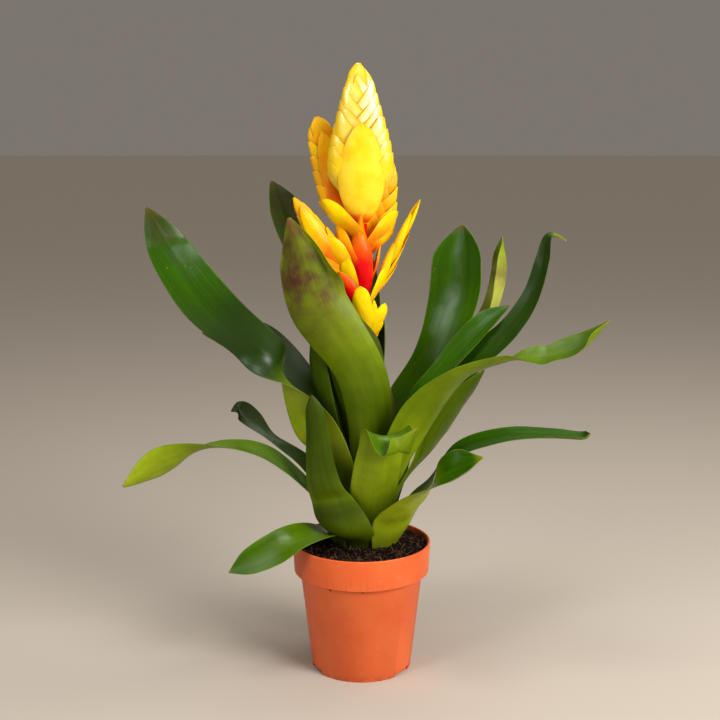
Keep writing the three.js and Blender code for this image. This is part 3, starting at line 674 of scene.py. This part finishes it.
# "red" is where the stem turns red
stem = {"line": [[3, 8, 84], [3, 7, 170], [2, 4, 240], [0, 0, 320], [0, 0, 388]],
        "radius": 4.5, "sides": 28, "rings": 90, "ridges": 5, "ridgeHigh": 0.05,
        "ridgeTurn": 0.02, "rough": 0.04, "red": (200, 280), "redness": 1.15}
bractBlade = {"axis": (0, 0), "reach": (8, 26), "gutter": 15, "fold": 14, "soft": 0.01,
              "point": 0.66, "thick": 0.8, "columns": 14, "rowLength": 2.5, "ripple": 0.7,
              "blunt": True, "pale": 0, "base": 0, "brown": 0}
# "warm" is how red each is, where along it the red ends, and the same for orange
stemBracts = [
    {"facing": 238, "warm": (1.1, 0.5, 1.0, 0.8), "line": [
        [-1, -3, 368, 12], [-9, -10, 381, 25], [-21, -14, 394, 24], [-33, -14, 409, 14]]},
    {"facing": 305, "warm": (0.9, 0.45, 1.0, 1.1), "line": [
        [3, -2, 360, 12], [11, -4, 374, 21], [21, -4, 386, 19], [30, -5, 399, 12]]},
    {"facing": 350, "warm": (1.3, 1.0, 1.2, 1.6), "line": [
        [3, 0, 326, 10], [9, 2, 342, 17], [14, 3, 356, 15], [16, 4, 370, 9]]},
    {"facing": 235, "warm": (1.2, 0.9, 1.1, 1.4), "line": [
        [-1, -2, 336, 10], [-9, -7, 353, 20], [-16, -9, 370, 19], [-20, -10, 388, 12]]},
    {"facing": 268, "fold": 40, "gutter": 14, "point": 0.42, "blunt": False, "reach": (1, 4),
     "warm": (1.6, 0.95, 1.3, 1.8), "line": [
        [1, -3, 326, 11], [1, -8, 343, 18], [-1, -12, 362, 23], [-2, -13, 380, 19],
        [0, -12, 397, 14]]},
    {"facing": 250, "warm": (1.7, 1.6, 1.0, 2.0), "line": [
        [0, -3, 302, 9], [-7, -11, 319, 18], [-13, -16, 334, 20], [-19, -17, 350, 11]]},
]
# red is fullest at the keel, and a tip without painted highlight turns brown
warmth = {"keel": 0.35, "margin": 0.65, "brownTip": 0.35, "tipFrom": 0.95}


def makeStem():
    bm = startBladeMesh()
    verts, bladeLayer, tintLayer = bladeGrid(bm, stem["sides"], stem["rings"])
    for vert in verts:
        turn, place = vert.co.x * math.pi, (vert.co.y + 1) / 2
        x, y, z = between(stem["line"], place)
        ridge = stem["ridgeHigh"] * math.cos(stem["ridges"] * turn + z * stem["ridgeTurn"])
        radius = stem["radius"] * (1 + ridge + stem["rough"] * roughen((turn, z * 0.1), 1, 4))
        vert[bladeLayer] = (vert.co.x, place, z * mm)
        vert[tintLayer] = (stem["redness"] * smooth(*stem["red"], z), 1, 0, 1)
        vert.co = Vector((x + radius * math.cos(turn), y + radius * math.sin(turn), z)) * mm
    bmesh.ops.remove_doubles(bm, verts=bm.verts, dist=1e-6)
    bmesh.ops.holes_fill(bm, edges=bm.edges, sides=0)
    bmesh.ops.recalc_face_normals(bm, faces=bm.faces)
    piece = makeObject(bm, "redStem")
    dress(piece, [bractYellow], ["flower_stem"])


def warmTint(bract):
    red, redTo, orange, orangeTo = bract["warm"]
    # pale is how much painted highlight the bract takes
    pale = bract["pale"]

    def tintAt(place, side):
        keel = warmth["keel"] * (1 - abs(side))
        tip = smooth(warmth["tipFrom"], 1, place)
        return (red * (1 - smooth(0, redTo, place)) * (warmth["margin"] + keel),
                bract["base"] + orange * (1 - smooth(0.1 * orangeTo, orangeTo, place)),
                max((warmth["brownTip"] - pale) * tip, bract["brown"]), pale)
    return tintAt


def makeStemBracts():
    bm = startBladeMesh()
    for number, entry in enumerate(stemBracts):
        bract = {**bractBlade, **entry}
        layBlade(bm, bract, warmTint(bract), number + 50)
    piece = makeObject(bm, "stemBracts")
    thicken(piece, bractBlade["thick"])
    dress(piece, [bractYellow])


makeStem()
makeStemBracts()
print("stem made")


# base and tip of the axis, half width and half depth, the way the flat side faces, bracts and the
# length of one as a part of the spike's, its colours, and the broad bracts before it
spikes = {
    "main": {
        # pale, here and on the apron, is a painted highlight on the lit upper scales
        "pale": 0.9, "base": [0, 0, 388.6], "tip": [-2, 0, 519], "half": [27, 10], "facing": 270,
        "bracts": 20, "long": 0.42, "thick": 0.7, "glossy": True, "fronts": [
            {"facing": 270, "point": 0.5, "gutter": 31, "reach": (1, 4),
             "warm": (0.9, 0.12, 1.0, 0.26), "ripple": 1.1, "pale": 0.05, "base": 0.12,
             "line": [
                [0, -2, 389, 10], [0, -9, 400, 29], [0, -12, 420, 43], [0, -12.3, 443, 41],
                [0, -12.3, 471, 26]]}]},
    "back_left": {
        # its extra orange and brown, here and on its broad front bract, are partly its own duller
        # colour and partly painted shade, as it stands in shade behind the main spike
        "base": [-5, 10, 374], "tip": [-39, 22, 476], "half": [19, 6], "facing": 285, "bracts": 13,
        "long": 0.46, "orange": 0.36, "brown": 0.28, "narrowing": 0.4, "fronts": [
            {"facing": 285, "gutter": 20, "reach": (1, 4), "warm": (0.3, 0.2, 0.75, 1.3),
             "base": 0.25, "brown": 0.22, "line": [
                [-8, 3, 380, 10], [-16, 5, 402, 22], [-24, 10, 432, 22], [-33, 14, 464, 14]]}]},
    "right_back": {
        "base": [6, 9, 358], "tip": [27, 20, 438], "half": [15, 6], "facing": 285, "bracts": 10,
        "long": 0.48, "orange": 0.25, "brown": 0.05},
    "left_low": {
        "base": [-7, -5, 331], "tip": [-55, -22, 411], "half": [13, 6], "facing": 290,
        "bracts": 10, "long": 0.6, "orange": 0.42, "brown": 0.1, "fronts": [
            {"facing": 285, "gutter": 20, "reach": (1, 4), "warm": (0.5, 0.2, 0.85, 0.7),
             "base": 0.38, "brown": 0.05, "line": [
                [-17, -12, 347, 8], [-27, -18, 364, 15], [-38, -21.5, 383, 15],
                [-50, -24, 404, 8]]},
            {"facing": 265, "gutter": 17, "base": 0.2, "warm": (0.6, 0.35, 0.9, 0.6), "line": [
                [-11, -10, 347, 11], [-17, -14, 356, 20], [-23, -17, 367, 21],
                [-28, -18, 379, 14]]},
            {"facing": 265, "warm": (0.4, 0.3, 0.7, 0.7), "line": [
                [-5, -9, 329, 8], [-9, -14, 341, 13], [-12, -16, 352, 13], [-13, -16, 362, 8]]}]},
    "right_slender": {
        "base": [8, 2, 321], "tip": [49, 8, 408], "half": [6, 5], "facing": 310, "bracts": 5,
        "long": 0.8, "orange": 0.08, "fronts": [
            {"facing": 300, "point": 0.7, "gutter": 9, "warm": (0.2, 0.2, 0.5, 0.5), "line": [
                [7, -2, 318, 8], [12, -4, 330, 13], [17, -4, 341, 12], [20, -3, 352, 7]]}]},
    "front_low": {
        "base": [10.6, -7, 290], "tip": [4, -15.8, 333], "half": [10, 4], "facing": 270,
        "bracts": 4, "long": 0.6, "thick": 0.6, "fronts": [
            {"facing": 265, "point": 0.7, "gutter": 11, "warm": (0.0, 0.2, 0.2, 0.4), "line": [
                [9, -8, 291, 6], [6, -14, 305, 16], [1, -18, 320, 18], [-1, -19, 338, 15]]},
            {"facing": 290, "point": 0.7, "gutter": 8, "warm": (0.0, 0.2, 0.3, 0.4), "line": [
                [11, -8, 292, 6], [13, -12, 304, 12], [17, -13, 314, 11], [20, -12, 323, 6]]}]},
}
plainSpike = {"thick": 0.5, "glossy": False, "narrowing": 0.62, "orange": 0, "brown": 0,
              "pale": 0, "fronts": []}
frontBlade = {**bractBlade, "fold": 0, "ripple": 0.9, "columns": 16, "point": 0.6}
# a bract's levels at equal steps up: keel, inner edge and depth as parts of the spike's
bractLevels = [[0.12, -0.12, 0.15], [0.6, -0.4, 0.6], [0.86, -0.25, 0.84], [0.95, 0.1, 0.95],
               [1.02, 0.5, 1.03], [1.06, 0.88, 1.1]]
topLevels = [[0.12, -0.12, 0.15], [0.6, -0.38, 0.6], [0.88, -0.6, 0.86], [1, -0.7, 0.96],
             [0.98, -0.7, 1.0], [0.5, -0.2, 0.8]]
# pairs are from where to where up the spike, or an amount and its power
spikeShape = {"columns": 16, "rows": 12, "sway": 0.2, "swaySteps": (0.73, 0.31, 0.5),
              "lowest": 0.26, "rest": 0.74, "long": 1.2, "shorten": 0.65,
              "widen": (-0.06, 0.34), "narrow": (0.3, 1.05), "close": (0.55, 12),
              "flatTop": (0.85, 10), "topFrom": 0.88, "ripple": 0.25}
# where up the spike, along a bract or across it each colour ends or sets in; the highlight runs
# place the painted highlight
spikeRuns = {"red": (0, 0.13), "orange": (0.02, 0.26), "bractOrange": (0.3, 0.8),
             "bractBrown": (0.95, 1), "topBrown": (0.97, 1), "highlightUp": (0.4, 0.65),
             "highlightFrom": (0.3, 0.6), "highlightTo": (0.78, 0.96)}


def spikeProfile(height, narrowing):
    loss, power = spikeShape["close"]
    rise = smooth(*spikeShape["widen"], height)
    narrower = 1 - narrowing * smooth(*spikeShape["narrow"], height)
    return rise * narrower * (1 - loss * height ** power)


# one boat-shaped bract: a grid folded round its keel and laid over the spike's rounded side, from
# low to high as parts of the spike's length
def layBract(bm, spike, low, high, matrix, tintAt, seed):
    verts, bladeLayer, tintLayer = bladeGrid(bm, spikeShape["columns"], spikeShape["rows"])
    loss, power = spikeShape["flatTop"]
    halfWidth, halfDepth = spike["half"]
    for vert in verts:
        side, place = vert.co.x, (vert.co.y + 1) / 2
        height = mix(low, high, place)
        width = spikeProfile(height, spike["narrowing"])
        depth = (0.3 + 0.7 * width) * (1 - loss * height ** power) * halfDepth
        pairs = zip(between(bractLevels, place), between(topLevels, place))
        top = smooth(spikeShape["topFrom"], 1, high)
        keel, inner, swell = [mix(a, b, top) for a, b in pairs]
        out = mix(keel, inner, abs(side) ** 1.6)
        bulge = (1 - max(out / keel, 0) ** 2.4) ** 0.55 if side else 0
        ripple = spikeShape["ripple"] * noise.noise(Vector((place * 3, side * 2, seed)))
        vert[bladeLayer] = (side, place, height * spike["length"] * mm)
        vert[tintLayer] = tintAt(height, place, side)
        point = (out * width * halfWidth,
                 math.copysign(bulge * swell * depth + ripple * abs(side), side),
                 height * spike["length"])
        vert.co = matrix @ Vector(point) * mm


def spikeMatrix(spike):
    base = Vector(spike["base"])
    axis = (Vector(spike["tip"]) - base).normalized()
    turn = math.radians(spike["facing"])
    back = Vector((-math.cos(turn), -math.sin(turn), 0))
    back = (back - axis * back.dot(axis)).normalized()
    turned = Matrix((back.cross(axis), back, axis)).transposed().to_4x4()
    return Matrix.Translation(base) @ turned


# the colours of one bract; those of rank 1 face the back and take less of the painted highlight
def spikeTint(spike, rank):
    def run(key, value):
        return smooth(*spikeRuns[key], value)

    def tintAt(height, place, side):
        orange = (spike["orange"] + 0.9 * (1 - run("orange", height))
                  + 0.3 * (1 - run("bractOrange", place)))
        brown = max(spike["brown"], 0.25 * run("bractBrown", place),
                    0.4 * run("topBrown", height))
        # painted highlight: cream on the upper scales between keel and inner edge, less on rank 1
        inner = run("highlightFrom", abs(side)) * (1 - run("highlightTo", abs(side)))
        pale = spike["pale"] * run("highlightUp", height) * (1 - 0.7 * rank) * inner
        return 0.8 * (1 - run("red", height)), orange, brown, pale
    return tintAt


def makeSpike(name, entry, seed):
    length = (Vector(entry["tip"]) - Vector(entry["base"])).length
    spike = {**plainSpike, **entry, "length": length}
    matrix = spikeMatrix(spike)
    bm = startBladeMesh()
    for i in range(spike["bracts"]):
        high = spikeShape["lowest"] + spikeShape["rest"] * (i + 1) / spike["bracts"]
        shorter = spikeShape["long"] - spikeShape["shorten"] * high
        low = high - min(spike["long"] * shorter, high)
        rank = i % 2
        a, b, c = spikeShape["swaySteps"]
        sway = spikeShape["sway"] * noise.noise(Vector((a * i, b * seed, c)))
        turned = matrix @ Matrix.Rotation(math.pi * rank + sway, 4, "Z")
        layBract(bm, spike, low, high, turned, spikeTint(spike, rank), seed + i)
    bracts = [bm]
    if spike["glossy"]:
        bracts.append(startBladeMesh())
    for front in spike["fronts"]:
        bract = {**frontBlade, **front}
        layBlade(bracts[-1], bract, warmTint(bract), seed)
    for mesh, label in zip(bracts, ("flower", "apron")):
        piece = makeObject(mesh, f"{label}_{name}")
        thicken(piece, spike["thick"])
        shiny = spike["glossy"] and mesh is bm
        dress(piece, [glossyYellow if shiny else bractYellow],
              ["spike_" + name] if mesh is bm else ())


for number, (name, entry) in enumerate(spikes.items()):
    makeSpike(name, entry, 100 + number * 31)
print("spikes made")


pot = {"rim": 60, "top": 113.6, "bandBottom": 87.2, "taper": 1.3, "step": 53.5, "foot": 43.4,
       "wall": 1.6, "pad": 31, "drain": 4.5, "notches": [85, 205, 325], "notchWidth": 20,
       "notchDepth": 6, "notchHeight": 8.4, "holes": 6, "holeRadius": 3.2, "holeRing": 36.6,
       "holeDepth": 5, "sides": 160}
potColours = {"dark": (0.73, 0.108, 0.021), "light": (0.8, 0.155, 0.038),
              "film": (0.85, 0.36, 0.2), "dust": (0.06, 0.03, 0.018)}
potGlow = {"Subsurface_Weight": 0.05, "Subsurface_Radius": (1.0, 0.3, 0.1),
           "Subsurface_Scale": 0.002}
# scales are those round and up the pot
potGrain = {
    "scuffs": {"scales": (2.2, 60.0), "detail": 6.0, "rough": 0.7, "scale": 3.0},
    "ticks": {"scales": (42.0, 30.0), "detail": 2.0},
    "cloud": {"scale": 26.0, "detail": 4.0, "rough": 0.55},
    "grain": {"scale": 900.0, "detail": 2.0},
    "dust": {"scale": 150.0, "detail": 5.0, "rough": 0.65},
}
# where the peat dust and the draw marks set in and end, in metres
potZones = {"inside": (0.0592, 0.0582), "lip": (0.100, 0.113), "foot": (0.007, 0.0),
            "bandFrom": (0.086, 0.09), "bandTo": (0.1, 0.095)}


def potMaterial():
    material, shader = newMaterial("potPlastic", Specular_IOR_Level=0.3, **potGlow)
    where = objectPlace(shader)
    x, y, z = separated(where)
    turn = mathNode("ARCTAN2", y, x)
    cloud, grain, dust = [noiseNode(where, **potGrain[key])
                          for key in ("cloud", "grain", "dust")]
    scuffs, ticks = [streakNoise(turn, z, **potGrain[key]) for key in ("scuffs", "ticks")]
    film = stretch(scuffs, 0.55, 0.8, 0.0, 0.25)  # chalky
    fromAxis = mathNode("SQRT", plus(times(x, x), times(y, y)))
    inside = times(stretch(fromAxis, *potZones["inside"]), stretch(z, *potZones["lip"]))
    dusty = larger(times(stretch(z, *potZones["foot"]), 0.55), inside)
    colour = paint(potColours["dark"], (stretch(cloud, 0.3, 0.7), potColours["light"]),
                   (film, potColours["film"]),
                   (times(stretch(dust, 0.45, 0.7), dusty), potColours["dust"]))
    # upright draw marks on the lower half of the band
    onBand = times(stretch(z, *potZones["bandFrom"]), stretch(z, *potZones["bandTo"]))
    marks = times(stretch(ticks, 0.55, 0.7), onBand)
    surface(shader, colour, stretch(plus(cloud, film), 0.3, 0.9, 0.36, 0.5),
            (grain, 0.12, 0.0002), (marks, 0.6, 0.0005), (cloud, 0.2, 0.0012))
    return material


def potCutter():
    bm = bmesh.new()
    notch = (pot["notchDepth"] * mm, pot["notchWidth"] * mm, pot["notchHeight"] * mm, 1)
    for angle in pot["notches"]:
        turned = Matrix.Rotation(math.radians(angle), 4, "Z")
        box = turned @ Matrix.Translation((pot["foot"] * mm, 0, 0)) @ Matrix.Diagonal(notch)
        bmesh.ops.create_cube(bm, size=1, matrix=box)
    ring, depth = pot["holeRing"] * mm, pot["holeDepth"] * mm
    for i in range(pot["holes"]):
        turn = 2 * math.pi * (i + 0.5) / pot["holes"]
        place = Matrix.Translation((ring * math.cos(turn), ring * math.sin(turn), depth))
        bmesh.ops.create_cone(bm, cap_ends=True, segments=24, radius1=pot["holeRadius"] * mm,
                              radius2=pot["holeRadius"] * mm, depth=depth, matrix=place)
    return makeObject(bm, "cutter")


def makePot():
    rim, step, foot, pad = pot["rim"], pot["step"], pot["foot"], pot["pad"]
    top, band, drain, wall = pot["top"], pot["bandBottom"], pot["drain"], pot["wall"]
    bandLow = rim - pot["taper"]
    # from the middle of the underside out and up the outside, over the lip and back down inside
    profile = [(0, 0), (pad, 0), (pad + 2, drain), (foot - 3.9, drain), (foot - 3.1, 0),
               (foot - 0.3, 0), (foot, 0.4), (step - 0.3, band - 2.4), (step + 0.3, band - 1.5),
               (bandLow - 0.9, band - 0.4), (bandLow, band + 0.3), (bandLow + 0.1, band + 1.6),
               (rim, top - 1.0), (rim - 0.12, top - 0.4), (rim - 0.5, top - 0.05),
               (rim - 1.0, top), (rim - wall, top - 0.25), (rim - wall - 0.5, top - 1),
               (bandLow - wall, band + wall), (step - wall, band - 0.5),
               (foot - 0.9, drain + 3.8), (foot - 2.6, drain + wall),
               (pad + 2.4, drain + wall), (pad + 0.6, wall), (0, wall)]
    bm = bmesh.new()
    corners = [bm.verts.new((r * mm, 0, z * mm)) for r, z in profile]
    outline = [bm.edges.new(pair) for pair in zip(corners, corners[1:])]
    bmesh.ops.spin(bm, geom=corners + outline, cent=(0, 0, 0), axis=(0, 0, 1),
                   angle=2 * math.pi, steps=pot["sides"], use_merge=True)
    bmesh.ops.remove_doubles(bm, verts=bm.verts, dist=1e-7)
    bmesh.ops.recalc_face_normals(bm, faces=bm.faces)
    piece = makeObject(bm, "nurseryPot")
    cutter = potCutter()
    boolean = piece.modifiers.new("Notches", "BOOLEAN")
    boolean.operation = "DIFFERENCE"
    boolean.object = cutter
    boolean.solver = "EXACT"
    evaluated = piece.evaluated_get(bpy.context.evaluated_depsgraph_get())
    cut = bpy.data.meshes.new_from_object(evaluated)
    piece.modifiers.clear()
    piece.data = cut
    bpy.data.objects.remove(cutter)
    piece.data.set_sharp_from_angle(angle=math.radians(40))
    dress(piece, [potMaterial()], ["pot"])


makePot()
print("pot made")


soil = {"edge": 107.9, "mound": 4.4, "moundFall": (14, 48), "lump": 1.5,
        "lumps": ((1.4, 0.09, 1), (0.8, 0.24, 2)), "crumbly": ((1.5, 0.45, 5), (1.0, 1.1, 6)),
        "radius": 57.0, "scattered": 56.5, "bottom": 60, "wallGap": 3, "segments": 190}
soilGrain = {"coarse": {"scale": 140.0, "detail": 6.0, "rough": 0.7},
             "fine": {"scale": 900.0, "rough": 0.6}}
fleckColour = (0.3, 0.12, 0.045)
peatDark = (0.002, 0.0013, 0.001)


def fromPlant(x, y):
    return math.hypot(x - rosette["axis"][0], y - rosette["axis"][1])


def soilHeight(x, y):
    mound = soil["mound"] * (1 - smooth(*soil["moundFall"], fromPlant(x, y)))
    return soil["edge"] + mound + soil["lump"] * lumps((x, y), soil["lumps"])


def soilMaterial(name, dark, light, flecks):
    material, shader = newMaterial(name, Specular_IOR_Level=0.12)
    where = objectPlace(shader)
    coarse, fine = [noiseNode(where, **soilGrain[key]) for key in ("coarse", "fine")]
    colour = paint(dark, (stretch(coarse, 0.35, 0.7), light),
                   (times(stretch(fine, 0.66, 0.75), flecks), fleckColour))
    surface(shader, colour, stretch(coarse, 0.3, 0.7, 0.5, 0.95),
            (coarse, 0.9, 0.0012), (fine, 0.6, 0.0005))
    return material


def makeSoil():
    bm = bmesh.new()
    bmesh.ops.create_grid(bm, x_segments=soil["segments"], y_segments=soil["segments"], size=1)
    rim = [edge for edge in bm.edges if edge.is_boundary]
    wall = bmesh.ops.extrude_edge_only(bm, edges=rim)["geom"]
    low = {item for item in wall if isinstance(item, bmesh.types.BMVert)}
    for vert in bm.verts:
        x, y = vert.co.x, vert.co.y
        across = Vector((x * math.sqrt(1 - y * y / 2), y * math.sqrt(1 - x * x / 2)))
        if vert in low:
            place = across * (pot["step"] - pot["wall"] - soil["wallGap"])
            height = soil["bottom"]
        else:
            place = across * soil["radius"]
            height = soilHeight(*place) + lumps(place, soil["crumbly"])
        vert.co = (place.x * mm, place.y * mm, height * mm)
    bmesh.ops.holes_fill(bm, edges=[e for e in bm.edges if e.is_boundary], sides=0)
    bmesh.ops.recalc_face_normals(bm, faces=bm.faces)
    piece = makeObject(bm, "peat")
    dress(piece, [soilMaterial("peat", peatDark, (0.011, 0.005, 0.003), 0.6)], ["soil"])


def soilPlace(chooser, clear):
    while True:
        radius = soil["scattered"] * math.sqrt(chooser.random())
        turn = chooser.uniform(0, 2 * math.pi)
        x, y = radius * math.cos(turn), radius * math.sin(turn)
        if fromPlant(x, y) > clear:
            return x, y


# sizes and the room left clear round the plant are in mm
def scatter(name, addOne, count, sizes, clear, seed, material):
    chooser = random.Random(seed)
    bm = bmesh.new()
    for _ in range(count):
        x, y = soilPlace(chooser, clear)
        size = chooser.uniform(*sizes)
        turn = Matrix.Rotation(chooser.uniform(0, 6.28), 4, "Z")
        tilt = Matrix.Rotation(chooser.gauss(0, 0.5), 4, "Y")
        height = soilHeight(x, y) + chooser.uniform(0.1, 0.5) * min(size, 3)
        place = Matrix.Translation((x * mm, y * mm, height * mm))
        addOne(bm, place @ turn @ tilt, size * mm, chooser)
    piece = makeObject(bm, name, name != "barkChips")
    dress(piece, [material])


def shake(verts, amount, size, chooser):
    for vert in verts:
        vert.co += Vector([chooser.gauss(0, amount) * size for _ in range(3)])


def addCrumb(bm, matrix, size, chooser):
    stretchBy = Matrix.Diagonal((chooser.uniform(0.6, 1.3), chooser.uniform(0.6, 1), 0.8, 1))
    made = bmesh.ops.create_icosphere(bm, subdivisions=1, radius=size / 2,
                                      matrix=matrix @ stretchBy)
    shake(made["verts"], 0.08, size, chooser)


def addChip(bm, matrix, size, chooser):
    flat = Matrix.Diagonal((size, size * chooser.uniform(0.3, 0.6), size * 0.22, 1))
    made = bmesh.ops.create_cube(bm, size=1, matrix=matrix @ flat)
    shake(made["verts"], 0.06, size, chooser)


def addFibre(bm, matrix, size, chooser):
    thin = Matrix.Diagonal((size, size * 0.05, size * 0.05, 1))
    before = len(bm.verts)
    bmesh.ops.create_cube(bm, size=1)
    long = [e for v in list(bm.verts)[before:] for e in v.link_edges
            if abs((e.verts[0].co - e.verts[1].co).x) > 0.5]
    bmesh.ops.subdivide_edges(bm, edges=list(set(long)), cuts=4)
    bend = chooser.uniform(-4, 4)
    for vert in list(bm.verts)[before:]:
        vert.co.y += bend * (vert.co.x ** 2 - 0.25)
        vert.co = matrix @ thin @ vert.co


makeSoil()
scatter("peatCrumbs", addCrumb, count=2600, sizes=(0.8, 3.4), clear=18, seed=11,
        material=soilMaterial("crumbs", peatDark, (0.02, 0.009, 0.005), 0.8))
scatter("barkChips", addChip, count=200, sizes=(1.4, 4.6), clear=22, seed=12,
        material=soilMaterial("bark", (0.02, 0.009, 0.005), (0.12, 0.05, 0.022), 1.0))
scatter("rootFibres", addFibre, count=420, sizes=(3, 10), clear=20, seed=13,
        material=soilMaterial("fibres", (0.05, 0.022, 0.01), (0.24, 0.12, 0.055), 1.0))
print("soil made")
